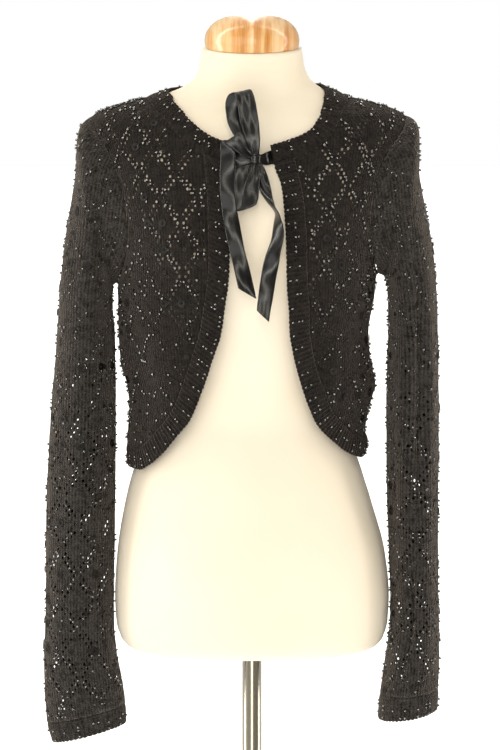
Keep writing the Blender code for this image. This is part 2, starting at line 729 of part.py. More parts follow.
def back_pieces(neck, pieces, finish):
    """The back panel and the ribbed bands along its hem and round the neck."""
    angles = np.linspace(0, math.pi, 200)
    blend = (1 - np.cos(angles)) / 2
    heights = HEM_HEIGHT["left"] * (1 - blend) + HEM_HEIGHT["right"] * blend
    hem = np.stack([angles, heights], axis=1)
    sewn = inset(hem, BAND_WIDTH, -1)
    bottom = inset(hem, BAND_WIDTH + PANEL_GAP, -1)
    for curve in (hem, sewn, bottom):
        curve[0, 0] = side_angle("left", "back", seam_angle(curve[0, 1], "back"))
        curve[-1, 0] = side_angle("right", "back", seam_angle(curve[-1, 1], "back"))
    span = (0, len(hem) - 1)
    hem_places = np.linspace(*span, BACK_COLUMNS + 1)
    ribbed_strip("band_hem", hem, span, sewn, span, hem_places, pieces, finish)

    panel_neck, sewn_neck = neck_seam(neck, PANEL_GAP), neck_seam(neck, 0)
    left_corner, left_front, left_back = neck_places(neck, "left")
    right_corner, right_front, right_back = neck_places(neck, "right")
    slope_cells = PANEL_COLUMNS - SHOULDER_CELLS
    neck_cells = BACK_COLUMNS - 2 * BACK_SHOULDER_CELLS
    first, last = (crossing(sewn_neck, front_curve(side)) for side in ("left", "right"))
    back_neck = np.linspace(left_back, right_back, neck_cells + 1)
    seam_places = np.concatenate(
        [
            np.linspace(first, left_corner, 3)[:-1],
            np.linspace(left_corner, left_front, slope_cells + 1),
            back_neck,
            np.linspace(right_front, right_corner, slope_cells + 1),
            np.linspace(right_corner, last, 3)[1:],
        ]
    )
    ribbed_strip(
        "band_neck", neck, (0, len(neck) - 1), sewn_neck, (first, last), seam_places, pieces, finish
    )

    start, end = seam_line("left", "back"), seam_line("right", "back")
    across_neck = at_places(panel_neck, back_neck)
    ridge_cells = BACK_SHOULDER_CELLS + 1
    left_ridge = ridge_line("left", "back", SHOULDER_HEIGHT, across_neck[0, 1], ridge_cells)
    right_ridge = ridge_line("right", "back", across_neck[-1, 1], SHOULDER_HEIGHT, ridge_cells)
    top = np.concatenate([left_ridge[:-1], across_neck, right_ridge[1:]])
    bottom = at_places(bottom, hem_places)
    start[0], end[0] = bottom[0], bottom[-1]
    top[0], top[-1] = start[-1], end[-1]
    chart = patch_between(bottom, top, start, end)
    cloth_wall("back", chart, np.zeros(chart.shape[:2]), pieces, finish)


def armhole_ring(side):
    """The sleeve's first ring: the armhole's edge, moved out of the body by the seam's gap."""
    outer_side = 1 if side == "left" else -1
    front = seam_line(side, "front")[SEAM_ROWS:]
    back = seam_line(side, "back")[SEAM_ROWS:]
    loop = np.concatenate([front[:-1], ((front[-1] + back[-1]) / 2)[None], back[-2:0:-1]])
    loop[0] = (front[0] + back[0]) / 2
    points = cloth_surface(loop[:, 0], loop[:, 1])
    reach = np.abs(outward(cloth_surface, loop[:, 0], loop[:, 1])[:, 0]) * CLOTH_THICKNESS
    points[:, 0] += outer_side * (SEAM_GAP + reach + ARMHOLE_ROOM)
    return points


def section_ring(section, side, turns):
    """One oval section of a sleeve, from its inner edge by the front and round; inside of the wall."""
    outer_side = 1 if side == "left" else -1
    out_x, out_z, in_x, in_z, half_depth, middle_y = (value * MM for value in section)
    run = np.array([outer_side * (out_x - in_x), 0, out_z - in_z]) / 2
    middle = np.array([outer_side * (out_x + in_x) / 2, middle_y, (out_z + in_z) / 2])
    run *= 1 - CLOTH_THICKNESS / np.linalg.norm(run)
    depth = np.array([0, half_depth - CLOTH_THICKNESS, 0])
    return middle - np.cos(turns)[:, None] * run - np.sin(turns)[:, None] * depth


def tube_normals(rings, outer_side):
    """Unit vectors out of a tube's grid of points, whose rings run from the inner edge by the front."""
    around = np.roll(rings, -1, axis=1) - np.roll(rings, 1, axis=1)
    along = np.gradient(rings, axis=0)
    normal = outer_side * np.cross(along, around)
    return normal / np.linalg.norm(normal, axis=-1, keepdims=True)


def flattened(vectors, axis):
    """Unit vectors with their share along the axis taken out."""
    flat = vectors - (vectors @ axis)[:, None] * axis
    return flat / np.linalg.norm(flat, axis=-1, keepdims=True)


def sleeve_rings(side):
    """The sleeve's inside, from the armhole to just above the cuff, with its long creases."""
    count = 2 * ARMHOLE_ROWS
    turns = np.linspace(0, 2 * math.pi, count, endpoint=False)
    rings = [armhole_ring(side)] + [section_ring(row, side, turns) for row in SLEEVE_SECTIONS[side]]
    rings = np.stack(rings)
    outer_side = 1 if side == "left" else -1
    normals = tube_normals(rings, outer_side)
    degrees = turns / DEG
    heights = rings[..., 2] / MM
    for top_turn, low_turn, top, low, depth, width in SLEEVE_CREASES[side]:
        run = np.clip((top - heights) / (top - low), 0, 1)
        place = top_turn + (low_turn - top_turn) * run
        dent = depth * np.exp(-(((degrees[None] - place) / width) ** 2)) * hill(heights, low, top)
        rings = rings - normals * dent[..., None] * MM
    return rings


def sleeve_pieces(side, pieces, finish):
    """A sleeve and its ribbed cuff, both open tubes."""
    outer_side = 1 if side == "left" else -1
    rings = sleeve_rings(side)
    normals = tube_normals(rings, outer_side)
    normals[0] = flattened(normals[0], np.array([1.0, 0, 0]))
    last = SLEEVE_SECTIONS[side][-1]
    turns = np.linspace(0, 2 * math.pi, rings.shape[1], endpoint=False)
    down = section_ring(CUFF_BOTTOM[side], side, turns).mean(axis=0) - rings[-1].mean(axis=0)
    down /= np.linalg.norm(down)
    across = np.cross(rings[-1, 1] - rings[-1, 0], rings[-1, 2] - rings[-1, 0])
    normals[-1] = flattened(normals[-1], across / np.linalg.norm(across))
    outer = rings + normals * CLOTH_THICKNESS
    wall_object(f"sleeve_{side}", rings, outer, pieces, finish, wrap=True)

    half_width = math.dist(last[:2], last[2:4]) / 2 * MM
    girth = 2 * math.pi * math.sqrt((half_width**2 + (last[4] * MM) ** 2) / 2)
    count = 2 * round(girth / RIB_PITCH)
    turns = np.linspace(0, 2 * math.pi, count, endpoint=False)
    top = section_ring(last, side, turns) + down * SEAM_GAP
    tube = np.stack([top, section_ring(CUFF_BOTTOM[side], side, turns)])
    rises = RIB_RISE * (np.arange(count) % 2)
    out = tube_normals(tube, outer_side)
    out[0] = flattened(out[0], across / np.linalg.norm(across))
    outer = tube + out * (CLOTH_THICKNESS + rises)[None, :, None]
    wall_object(f"cuff_{side}", tube, outer, pieces, finish, wrap=True)


def ribbon_wall(name, path, steps, pieces, finish, slant=0.0):
    """A flat ribbon along a path: the middle's place in mm, the width's turn and lean, and its share."""
    rows = np.array(path, float)
    rows[:, :3] *= MM
    run = np.concatenate([[0], np.cumsum(np.linalg.norm(np.diff(rows[:, :3], axis=0), axis=1))])
    rows = through_rows(run, rows, np.linspace(0, run[-1], steps + 1))
    middle, turn, lean, share = rows[:, :3], rows[:, 3] * DEG, rows[:, 4] * DEG, rows[:, 5]
    along = np.gradient(middle, axis=0)
    along /= np.linalg.norm(along, axis=1, keepdims=True)
    wide = np.stack([np.cos(turn) * np.cos(lean), -np.sin(lean), np.sin(turn) * np.cos(lean)], axis=1)
    wide -= (wide * along).sum(1, keepdims=True) * along
    wide /= np.linalg.norm(wide, axis=1, keepdims=True)
    thick = np.cross(along, wide)
    places = np.array([-1, 0, 1])
    half = RIBBON_WIDTH / 2 * share[:, None, None]
    grid = middle[:, None] + wide[:, None] * places[None, :, None] * half
    grid = grid + thick[:, None] * (RIBBON_CROWN * (1 - places**2))[None, :, None]
    fade = np.clip(np.linspace(0, 1, steps + 1) * 4 - 3, 0, 1)
    grid = grid + along[-1] * (slant * fade[:, None] * places[None])[..., None]
    side = thick[:, None] * RIBBON_THICKNESS / 2
    return wall_object(name, grid - side, grid + side, pieces, finish)


def ends_on_band(side):
    """The first rows of a tie's path, just off its front's band, with the width up the band's slope."""
    rows = []
    for across, height in TIE_STARTS[side]:
        angle = np.array([angle_at(across * MM, height * MM, side)])
        level = np.array([height * MM])
        off = CLOTH_THICKNESS + RIB_RISE + RIBBON_THICKNESS / 2 + RIBBON_CROWN + SEAM_GAP
        point = (cloth_surface(angle, level) + outward(cloth_surface, angle, level) * off)[0] / MM
        slope = slopes_of(cloth_surface, angle, level)[1][0]
        turn = math.atan2(slope[2], slope[0]) / DEG
        lean = -math.asin(slope[1] / np.linalg.norm(slope)) / DEG
        rows.append((*point, turn, lean, 1.0))
    return rows


def knot_mesh(name, size):
    """A rounded block: a cube's cage with a subdivision surface."""
    mesh = bpy.data.meshes.new(name)
    shape = bmesh.new()
    bmesh.ops.create_cube(shape, size=1.0)
    bmesh.ops.subdivide_edges(shape, edges=shape.edges, cuts=1, use_grid_fill=True)
    for point in shape.verts:
        unit = point.co.normalized()
        reach = KNOT_FULLNESS * (0.72 + 0.28 * max(abs(value) for value in unit)) / 2
        point.co = Vector((unit.x * size[0], unit.y * size[1], unit.z * size[2])) * reach
    shape.to_mesh(mesh)
    shape.free()
    return mesh


def bow(pieces, cutters, finish):
    """The satin ribbon: two ties from the fronts, the knot, two loops and two free ends."""
    knot = add_object("ribbon_knot", knot_mesh("ribbon_knot", KNOT_SIZE), pieces, finish)
    knot.location = KNOT_PLACE
    grown = tuple(side + 2 * KNOT_ROOM for side in KNOT_SIZE)
    cutter = add_object("knot_space", knot_mesh("knot_space", grown), cutters, finish)
    cutter.location = KNOT_PLACE
    cutter.hide_render = True
    cutter.display_type = "WIRE"
    for item in (knot, cutter):
        rounding = item.modifiers.new("rounding", "SUBSURF")
        rounding.levels = 1
        rounding.render_levels = 1
    paths = dict(RIBBON_PATHS)
    paths["ribbon_tie_right"] = ends_on_band("right") + RIBBON_TIE_RIGHT
    paths["ribbon_tie_left"] = ends_on_band("left") + RIBBON_TIE_LEFT
    for name, path in paths.items():
        item = ribbon_wall(name, path, RIBBON_STEPS[name], pieces, finish, TAIL_SLANT.get(name, 0.0))
        cut = item.modifiers.new("room for the knot", "BOOLEAN")
        cut.operation = "DIFFERENCE"
        cut.solver = "EXACT"
        cut.object = cutter


def dress_form(pieces, finish):
    """The form's body and neck as one closed solid of rings."""
    heights = []
    table_heights = [row[0] * MM for row in FORM_RINGS]
    for low, high in zip(table_heights[:-1], table_heights[1:]):
        cells = max(1, round((high - low) / FORM_ROW_STEP))
        heights += list(np.linspace(low, high, cells, endpoint=False))
    heights = np.array(heights + [table_heights[-1]])
    angles = np.linspace(0, 2 * math.pi, FORM_COLUMNS, endpoint=False)
    rings = form_surface(angles[None], heights[:, None])
    rows = len(heights)
    index = np.arange(rows * FORM_COLUMNS).reshape(rows, FORM_COLUMNS)
    after = np.roll(index, -1, axis=1)
    faces = [tuple(int(i) for i in index[0][::-1]), tuple(int(i) for i in index[-1])]
    for a, b, c, d in zip(index[:-1].flat, after[:-1].flat, after[1:].flat, index[1:].flat):
        faces.append((int(a), int(b), int(c), int(d)))
    mesh = bpy.data.meshes.new("form_torso")
    mesh.from_pydata(rings.reshape(-1, 3).tolist(), [], faces)
    add_object("form_torso", mesh, pieces, finish)


def neck_cap(pieces, finish):
    """The turned wooden cap on the neck, leaning with it."""
    mesh = bpy.data.meshes.new("neck_cap")
    points = [(radius * MM, 0, height * MM) for radius, height in CAP_PROFILE]
    mesh.from_pydata(points, [(i, i + 1) for i in range(len(points) - 1)], [])
    made = bpy.data.objects.new("neck_cap", mesh)
    mesh.materials.append(finish)
    pieces.objects.link(made)
    turned = made.modifiers.new("turned", "SCREW")
    turned.steps = CAP_STEPS
    turned.render_steps = CAP_STEPS
    turned.use_merge_vertices = True
    turned.merge_threshold = 0.00005
    lean = Matrix.Rotation(NECK_LEAN, 4, "X")
    rise = Matrix.Translation((0, 0, NECK_TOP - NECK_BASE + SEAM_GAP))
    made.matrix_world = Matrix.Translation((0, 0, NECK_BASE)) @ lean @ rise


def round_bar(name, radius, low, high, segments, pieces, finish, edge=0.0):
    """An upright round bar or plate, its rims bevelled where edge is given."""
    mesh = bpy.data.meshes.new(name)
    shape = bmesh.new()
    bmesh.ops.create_cone(
        shape,
        cap_ends=True,
        segments=segments,
        radius1=radius,
        radius2=radius,
        depth=high - low,
        matrix=Matrix.Translation((0, 0, (low + high) / 2)),
    )
    shape.to_mesh(mesh)
    shape.free()
    made = add_object(name, mesh, pieces, finish)
    if edge:
        bevel = made.modifiers.new("edge", "BEVEL")
        bevel.width = edge
        bevel.segments = 1
        bevel.limit_method = "ANGLE"
        bevel.angle_limit = 60 * DEG
    return made


def main():
    clear_scene()
    pieces = new_collection(COLLECTION)
    cutters = new_collection("cutters", hidden=True)
    knit = material("black_knit_wool", (0.022, 0.018, 0.017), 0.9)
    rib = material("black_ribbed_wool", (0.026, 0.022, 0.020), 0.9)
    satin = material("black_satin", (0.022, 0.021, 0.021), 0.35)
    cream = material("cream_jersey", (0.93, 0.88, 0.76), 0.85)
    wood = material("varnished_wood", (0.80, 0.56, 0.28), 0.3)
    chrome = material("chromed_steel", (0.72, 0.72, 0.73), 0.12, 1.0)
    paint = material("powder_coated_steel", (0.55, 0.55, 0.56), 0.4, 1.0)

    neck = neck_curve()
    back_pieces(neck, pieces, knit)
    for side in ("right", "left"):
        front_pieces(side, neck, pieces, knit)
        sleeve_pieces(side, pieces, knit)
    for name in ("band_neck", "band_hem", "band_front_right", "band_front_left", "cuff_right", "cuff_left"):
        bpy.data.objects[name].data.materials[0] = rib
    bow(pieces, cutters, satin)
    dress_form(pieces, cream)
    neck_cap(pieces, wood)
    form_bottom = FORM_RINGS[0][0] * MM
    round_bar("pole", POLE_RADIUS, PLATE_THICKNESS + SEAM_GAP, form_bottom - SEAM_GAP, 24, pieces, chrome)
    round_bar("base_plate", PLATE_RADIUS, 0, PLATE_THICKNESS, 40, pieces, paint, edge=PLATE_EDGE)


main()
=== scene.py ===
import math

import bpy
import numpy as np
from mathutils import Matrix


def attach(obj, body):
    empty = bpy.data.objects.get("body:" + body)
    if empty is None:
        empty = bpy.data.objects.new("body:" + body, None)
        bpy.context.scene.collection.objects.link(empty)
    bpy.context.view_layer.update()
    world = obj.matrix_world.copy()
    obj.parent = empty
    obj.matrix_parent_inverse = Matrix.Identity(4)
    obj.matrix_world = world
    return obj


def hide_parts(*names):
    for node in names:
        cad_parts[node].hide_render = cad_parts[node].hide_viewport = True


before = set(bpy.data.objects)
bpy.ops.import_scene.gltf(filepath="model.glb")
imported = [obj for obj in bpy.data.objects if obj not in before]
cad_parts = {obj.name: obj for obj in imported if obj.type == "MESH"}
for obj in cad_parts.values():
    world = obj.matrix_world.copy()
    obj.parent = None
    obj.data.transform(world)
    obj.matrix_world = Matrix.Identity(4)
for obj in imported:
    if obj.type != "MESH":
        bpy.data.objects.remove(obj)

# The stage: a white floor that runs to the horizon, a white studio round it, one large soft lamp
# at the front left and a small one over the camera. The camera stands 2.5 m away at neck height.
MM = 0.001
DEG = math.pi / 180
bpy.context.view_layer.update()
scene = bpy.context.scene
scene.view_settings.view_transform = "Standard"  # plain sRGB, so that the studio white stays white


def linear(code):
    """A six-figure sRGB hex colour as linear red, green and blue, with an alpha of one."""
    parts = np.array([int(code[i : i + 2], 16) for i in (0, 2, 4)]) / 255
    return (*np.where(parts <= 0.04045, parts / 12.92, ((parts + 0.055) / 1.055) ** 2.4), 1.0)


def add(tree, kind, inputs=None, stops=(), **settings):
    """Adds a node of this kind. Each of its inputs, by name or number, is a value or another's output."""
    node = tree.nodes.new("ShaderNode" + kind)
    for key, value in settings.items():
        setattr(node, key, value)
    for key, value in (inputs or {}).items():
        if isinstance(value, bpy.types.NodeSocket):
            tree.links.new(value, node.inputs[key])
        else:
            node.inputs[key].default_value = value
    for number, (place, colour) in enumerate(stops):
        band = node.color_ramp.elements
        stop = band[-1] if number == len(stops) - 1 else band[0] if number == 0 else band.new(place)
        stop.position, stop.color = place, linear(colour)
    return node


def new_finish(name, colour, **sockets):
    """A material and its shader, with the whole surface's constants set on the shader's own sockets."""
    made = bpy.data.materials.new(name)
    made.use_nodes = True
    shader = made.node_tree.nodes["Principled BSDF"]
    shader.inputs["Base Color"].default_value = linear(colour)
    made.diffuse_color = linear(colour)
    for key, value in sockets.items():
        shader.inputs[key.replace("_", " ")].default_value = value
    return made, made.node_tree, shader


def cloth_place(tree):
    """The place across and along the flat cut, in mm."""
    return add(tree, "SeparateXYZ", {0: add(tree, "UVMap", uv_map="cloth").outputs[0]}).outputs[:2]


def calc(tree, operation, *values):
    """One step of arithmetic on values or on other nodes' outputs."""
    return add(tree, "Math", dict(enumerate(values)), operation=operation).outputs[0]


def rescaled(tree, value, low, high, start=0.0, end=1.0):
    """Runs from start to end as the value runs from low to high, and stays there past them."""
    return add(tree, "MapRange", {0: value, 1: low, 2: high, 3: start, 4: end}).outputs[0]


def ramp(tree, value, *stops):
    """The colour between these stops at the value."""
    return add(tree, "ValToRGB", {0: value}, stops).outputs[0]


def noise(tree, scale, detail, at=None):
    """Noise with this many waves a metre, in all or along each axis, over the object or over `at`."""
    if at is None:
        at = add(tree, "TexCoord").outputs["Object"]
    if isinstance(scale, tuple):
        at, scale = add(tree, "Mapping", {"Vector": at, "Scale": scale}).outputs[0], 1.0
    return add(tree, "TexNoise", {"Vector": at, "Scale": scale, "Detail": detail}).outputs[0]


def bump(tree, height, strength, distance):
    """The normal of a surface that rises by this distance for each unit of height."""
    return add(tree, "Bump", {"Height": height, "Strength": strength, "Distance": distance}).outputs[0]


def dress(tree, shader, **sockets):
    """Links each output to the shader's socket of that name."""
    for key, value in sockets.items():
        tree.links.new(value, shader.inputs[key.replace("_", " ")])


def piece(name, points, faces, finish, slot=None, uv=None, smooth=True):
    """An object at the origin from an array of points and arrays of faces, one face to a row."""
    mesh = bpy.data.meshes.new(name)
    corners = np.concatenate([np.asarray(group).ravel() for group in faces]).astype(np.int32)
    counts = np.concatenate([np.full(len(group), np.shape(group)[1]) for group in faces])
    mesh.vertices.add(len(points))
    mesh.vertices.foreach_set("co", np.asarray(points, np.float32).ravel())
    mesh.loops.add(len(corners))
    mesh.loops.foreach_set("vertex_index", corners)
    mesh.polygons.add(len(counts))
    starts = np.concatenate([[0], np.cumsum(counts)[:-1]]).astype(np.int32)
    mesh.polygons.foreach_set("loop_start", starts)
    if uv is not None:
        layer = mesh.uv_layers.new(name="cloth")
        flat = np.concatenate([np.reshape(group, (-1, 2)) for group in uv])
        layer.data.foreach_set("uv", flat.astype(np.float32).ravel())
    mesh.update(calc_edges=True)
    mesh.validate()
    if smooth:
        mesh.shade_smooth()
    mesh.materials.append(finish)
    made = bpy.data.objects.new(name, mesh)
    scene.collection.objects.link(made)
    if slot:
        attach(made, "root")
    return made


def grid_faces(rows, columns, wrap=False, first=0):
    """Quads of a grid counted row by row; with wrap, the last column is joined to the first."""
    index = first + np.arange(rows * columns).reshape(rows, columns)
    after = np.roll(index, -1, axis=1) if wrap else index[:, 1:]
    here = index if wrap else index[:, :-1]
    return np.stack([here[:-1], after[:-1], after[1:], here[1:]], axis=-1).reshape(-1, 4)


def tube_faces(rows, count):
    """A tube's quads, and one face over each of its ends."""
    end = np.arange(count)[None]
    return [grid_faces(rows, count, wrap=True), end[:, ::-1], (rows - 1) * count + end]

lens = bpy.data.cameras.new("camera")
lens.sensor_fit = "VERTICAL"
lens.sensor_height = 24
lens.lens = 24 * 2253 / 750
camera = bpy.data.objects.new("camera", lens)
camera.location = (-0.0022, -2.5, 1.355)
camera.rotation_euler = (84.55 * DEG, 0, 0)
scene.collection.objects.link(camera)
scene.camera = camera

sky = bpy.data.worlds.new("white_studio")
scene.world = sky
sky.use_nodes = True
tree = sky.node_tree
tree.nodes.clear()
way = add(tree, "TexCoord").outputs["Generated"]
across, depth, rise = add(tree, "SeparateXYZ", {0: way}).outputs
bearing = calc(tree, "ARCTAN2", across, calc(tree, "MULTIPLY", depth, -1.0))
# White cloths hung at the sides and back, with grey ones by the camera, give bright metal its streaks
walls = ramp(
    tree, rescaled(tree, bearing, -math.pi, math.pi),
    (0, "f4f2ec"), (0.18, "e8e4da"), (0.278, "f8f5ec"), (0.32, "dcd8cc"), (0.356, "b6b0a2"),
    (0.425, "a8a294"),
    (0.5, "c8c4ba"), (0.56, "928c82"), (0.7, "928d85"), (0.74, "c2beb6"), (0.79, "ece9e3"), (1, "f4f2ec"))
# Four tall narrow strip lights, cos 2a to the power 120, give cut beads their sparks and satin its gleam
wave = calc(tree, "COSINE", calc(tree, "MULTIPLY", bearing, 2.0))
strips = calc(tree, "POWER", calc(tree, "MULTIPLY", wave, wave), 60.0)
# A softbox hangs overhead, and the cloths are brighter near the floor
above = rescaled(tree, rise, 0.35, 0.9, 0.5, 0.95)
low = rescaled(tree, rise, -0.05, -0.2, 0.0, 0.35)
glow = calc(tree, "MULTIPLY_ADD", strips, 13.5, calc(tree, "ADD", above, low))
seen = add(tree, "LightPath").outputs["Is Camera Ray"]
plain = add(tree, "Background", {0: (1, 1, 1, 1), 1: 1.0}).outputs[0]
lit = add(tree, "Background", {0: walls, 1: glow}).outputs[0]
add(tree, "OutputWorld", {0: add(tree, "MixShader", {0: seen, 1: lit, 2: plain}).outputs[0]})

for name, place, size, power, aim in (
    ("key", (-1.7, -2.4, 2.1), 2.2, 20.5, (0, 0, 1.15)),
    ("flash", (0.05, -2.9, 2.0), 0.9, 5, (0, 0, 1.15)),
):
    lamp = bpy.data.lights.new(name, "AREA")
    lamp.size = size
    lamp.energy = power
    stand = bpy.data.objects.new(name, lamp)
    stand.location = place
    ray = np.array(aim) - place
    stand.rotation_euler = (
        math.atan2(math.hypot(ray[0], ray[1]), -ray[2]), 0, math.atan2(ray[1], ray[0]) - math.pi / 2
    )
    scene.collection.objects.link(stand)

floor_paint = new_finish(
    "matt_white_floor", "f2f2f2", Roughness=0.9, Emission_Color=linear("ffffff"), Emission_Strength=0.7)[0]
FLOOR_REACH = 400.0
corners = np.array([(-1, -1, 0), (1, -1, 0), (1, 1, 0), (-1, 1, 0)]) * FLOOR_REACH
floor = piece("studio_floor", corners, [np.array([[0, 1, 2, 3]])], floor_paint)
floor.visible_glossy = False  # the metal and satin mirror the studio's cloths

# The stand: a heavy round steel plate with a grey powder coat and a chromed tube screwed into its
# middle, which carries the form.
PLATE_PROFILE = [(0.4, 0), (150, 0), (158.6, 0.3), (159.7, 1.2), (160, 2.4), (160, 5.8), (159.4, 7.2),
                 (158, 7.9), (155, 8), (0.4, 8)]
POLE_PROFILE = [(0.4, 8.3), (10.6, 8.3), (11, 8.7), (11, 9.5), (11, 810.5), (11, 811.3), (10.6, 811.7),
                (0.4, 811.7)]


def turned(profile, count):
    """Rings of a profile of radius and height in mm turned round Z: x = r cos a, y = r sin a."""
    radius, height = np.array(profile, float).T * MM
    turn = np.linspace(0, 2 * math.pi, count, endpoint=False)
    ring = np.stack([np.cos(turn), np.sin(turn), np.zeros(count)], axis=1)
    points = ring[None] * radius[:, None, None] + np.array([0, 0, 1]) * height[:, None, None]
    return points.reshape(-1, 3), tube_faces(len(radius), count)


coat, tree, shader = new_finish("grey_powder_coat_on_steel", "8d8d8c", Roughness=0.45, Metallic=0.6)
grit = noise(tree, 900.0, 2.0)
grey = ramp(tree, grit, (0.3, "828281"), (0.7, "989897"))
dress(tree, shader, Base_Color=grey, Normal=bump(tree, grit, 0.25, 0.4 * MM))
plate = piece("stand_plate", *turned(PLATE_PROFILE, 96), coat, "plate")
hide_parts("base_plate")
rim = plate.modifiers.new("rim", "BEVEL")
rim.width, rim.segments, rim.limit_method, rim.angle_limit = 0.0003, 1, "ANGLE", 70 * DEG

# Chrome on a drawn tube, rubbed a little dull by handling, with faint draw lines along it
bright, tree, shader = new_finish("bright_chrome_on_steel_tube", "d0cabe", Roughness=0.22, Metallic=1.0)
lines = noise(tree, (1400, 1400, 6), 3.0)
dress(tree, shader, Roughness=rescaled(tree, lines, 0.3, 0.7, 0.22, 0.32))
pole = piece("stand_pole", *turned(POLE_PROFILE, 64), bright, "chrome")
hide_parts("pole")

# The limbless form: a hollow moulded body with a cream cotton jersey stretched over it, smooth, with
# a leaning neck. It is an oval ring at each height, with two soft bust rounds.
NECK_BASE, NECK_TOP, NECK_LEAN = 1438 * MM, 1478 * MM, 10 * DEG
BUST_SPREAD, BUST_WIDTH, BUST_HEIGHT, BUST_RISE, BUST_DEPTH = 68 * MM, 42 * MM, 1260 * MM, 45 * MM, 9 * MM
# Rings in mm: height, middle across, half width, front depth, back depth, power of the oval
FORM_RINGS = [
    (812, 0, 134, 87, 90, 2.2), (815, 0, 141, 94, 98, 2.2), (823, 0, 147.5, 99.5, 104, 2.2),
    (841, 0, 152.5, 102, 109, 2.2), (869, 0, 153.8, 103, 112, 2.2), (918, -1, 150, 104, 110, 2.2),
    (974, -4, 138, 101, 99, 2.2), (1006, -5, 129, 97, 88, 2.2), (1040, -5, 118, 91, 79, 2.2),
    (1072, -5, 111, 87, 74, 2.2), (1110, -5, 114, 90, 77, 2.2), (1166, -5, 127, 99, 85, 2.2),
    (1210, -4, 137, 107, 91, 2.3), (1255, -4, 142, 116, 95, 2.3), (1300, -4, 149, 110, 98, 2.3),
    (1340, -4, 158, 96, 97, 2.3), (1370, -4, 166, 80, 92, 2.3), (1388, -4, 170, 70, 84, 2.2),
    (1400, -4, 168, 62, 77, 2.1), (1407, -4, 159, 57, 72, 2), (1412, -4, 146, 54, 69, 2),
    (1417, -4, 131, 52, 67, 2), (1421.5, -3, 113, 50, 64, 2), (1427, -2, 96, 48.5, 61, 2),
    (1434, -1, 78, 48, 58, 2), (1442, 0, 66, 48.5, 55, 2), (1456, 0, 58, 50, 52, 2),
    (1478, 0, 54.5, 52, 52, 2),
]


def through_rows(knots, rows, places):
    """Cubics through the rows at these places, with harmonic-mean slopes that never overshoot."""
    places = np.clip(places, knots[0], knots[-1])
    index = np.clip(np.searchsorted(knots, places, side="right") - 1, 0, len(knots) - 2)
    steps = np.diff(knots)
    secants = np.diff(rows, axis=0) / steps[:, None]
    same_way, total = secants[1:] * secants[:-1], secants[1:] + secants[:-1]
    slopes = np.empty_like(rows)
    slopes[0], slopes[-1] = secants[0], secants[-1]
    slopes[1:-1] = np.where(same_way > 0, 2 * same_way / np.where(total == 0, 1, total), 0)
    step = steps[index][..., None]
    t = (places - knots[index])[..., None] / step
    return (
        rows[index] * (1 + 2 * t) * (1 - t) ** 2
        + rows[index + 1] * t**2 * (3 - 2 * t)
        + slopes[index] * step * t * (1 - t) ** 2
        + slopes[index + 1] * step * t**2 * (t - 1)
    )


def columns_at(table, heights):
    """The table's other columns at these heights, in mm."""
    rows = np.array(table, float)
    return np.moveaxis(through_rows(rows[:, 0], rows[:, 1:], np.asarray(heights) / MM), -1, 0)


def form_surface(angle, height):
    """x = w cos^(2/p), y = d sin^(2/p) at each height, less two bust hills, and turned at the neck."""
    angle, height = np.broadcast_arrays(np.asarray(angle, float), np.asarray(height, float))
    middle, half, front, back, power = columns_at(FORM_RINGS, height)
    across, along = np.cos(angle), np.sin(angle)
    x = half * np.sign(across) * np.abs(across) ** (2 / power) * MM
    y = np.where(along < 0, front, back) * np.sign(along) * np.abs(along) ** (2 / power) * MM
    sideways = (np.abs(x) - BUST_SPREAD) / BUST_WIDTH
    upward = (height - BUST_HEIGHT) / BUST_RISE
    y = y - BUST_DEPTH * np.exp(-(sideways**2) - upward**2) * np.clip(-along, 0, 1)
    rise = height - NECK_BASE
    lean = NECK_LEAN * np.clip(rise / (0.8 * (NECK_TOP - NECK_BASE)), 0, 1)
    return np.stack(
        [x + middle * MM, y * np.cos(lean) - rise * np.sin(lean),
         NECK_BASE + y * np.sin(lean) + rise * np.cos(lean)], axis=-1)


# Cream cotton jersey: a very fine matt knit that only just catches the light
jersey, tree, shader = new_finish("cream_cotton_jersey", "e6dbc6", Roughness=0.85, Sheen_Weight=0.15)
cream = ramp(tree, noise(tree, 9.0, 2.0), (0.3, "e5d8c2"), (0.7, "e7ddca"))
dress(tree, shader, Base_Color=cream, Normal=bump(tree, noise(tree, 700.0, 2.0), 0.12, 0.4 * MM))

levels = np.concatenate([
    np.linspace(812, 824, 8, endpoint=False), np.linspace(824, 1380, 84, endpoint=False),
    np.linspace(1380, 1445, 34, endpoint=False), np.linspace(1445, 1478, 9)]) * MM
turn = np.linspace(0, 2 * math.pi, 120, endpoint=False)
rings = form_surface(turn[None], levels[:, None])
body = piece("form_body", rings.reshape(-1, 3), tube_faces(len(levels), len(turn)), jersey, "jersey")
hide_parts("form_torso")

# The neck cap: a low dome turned from striped beech and varnished, pinned on the sloping neck.
CAP_PROFILE = [(0.4, 38), (16, 37.2), (29, 34.2), (39.5, 29), (46.5, 22.6), (50.6, 15.5), (52, 8), (51, 1)]
rows = np.array(CAP_PROFILE[::-1], float)
run = np.concatenate([[0], np.cumsum(np.hypot(*np.diff(rows, axis=0).T))])
dome = through_rows(run, rows, np.linspace(0, run[-1], 40))
points, faces = turned([(0.4, 0), (50, 0), (50.6, 0.3), *dome], 96)
lean_cos, lean_sin = math.cos(NECK_LEAN), math.sin(NECK_LEAN)
x, y, z = points.T
z = z + NECK_TOP - NECK_BASE + 0.3 * MM
points = np.stack([x, y * lean_cos - z * lean_sin, NECK_BASE + y * lean_sin + z * lean_cos], axis=1)
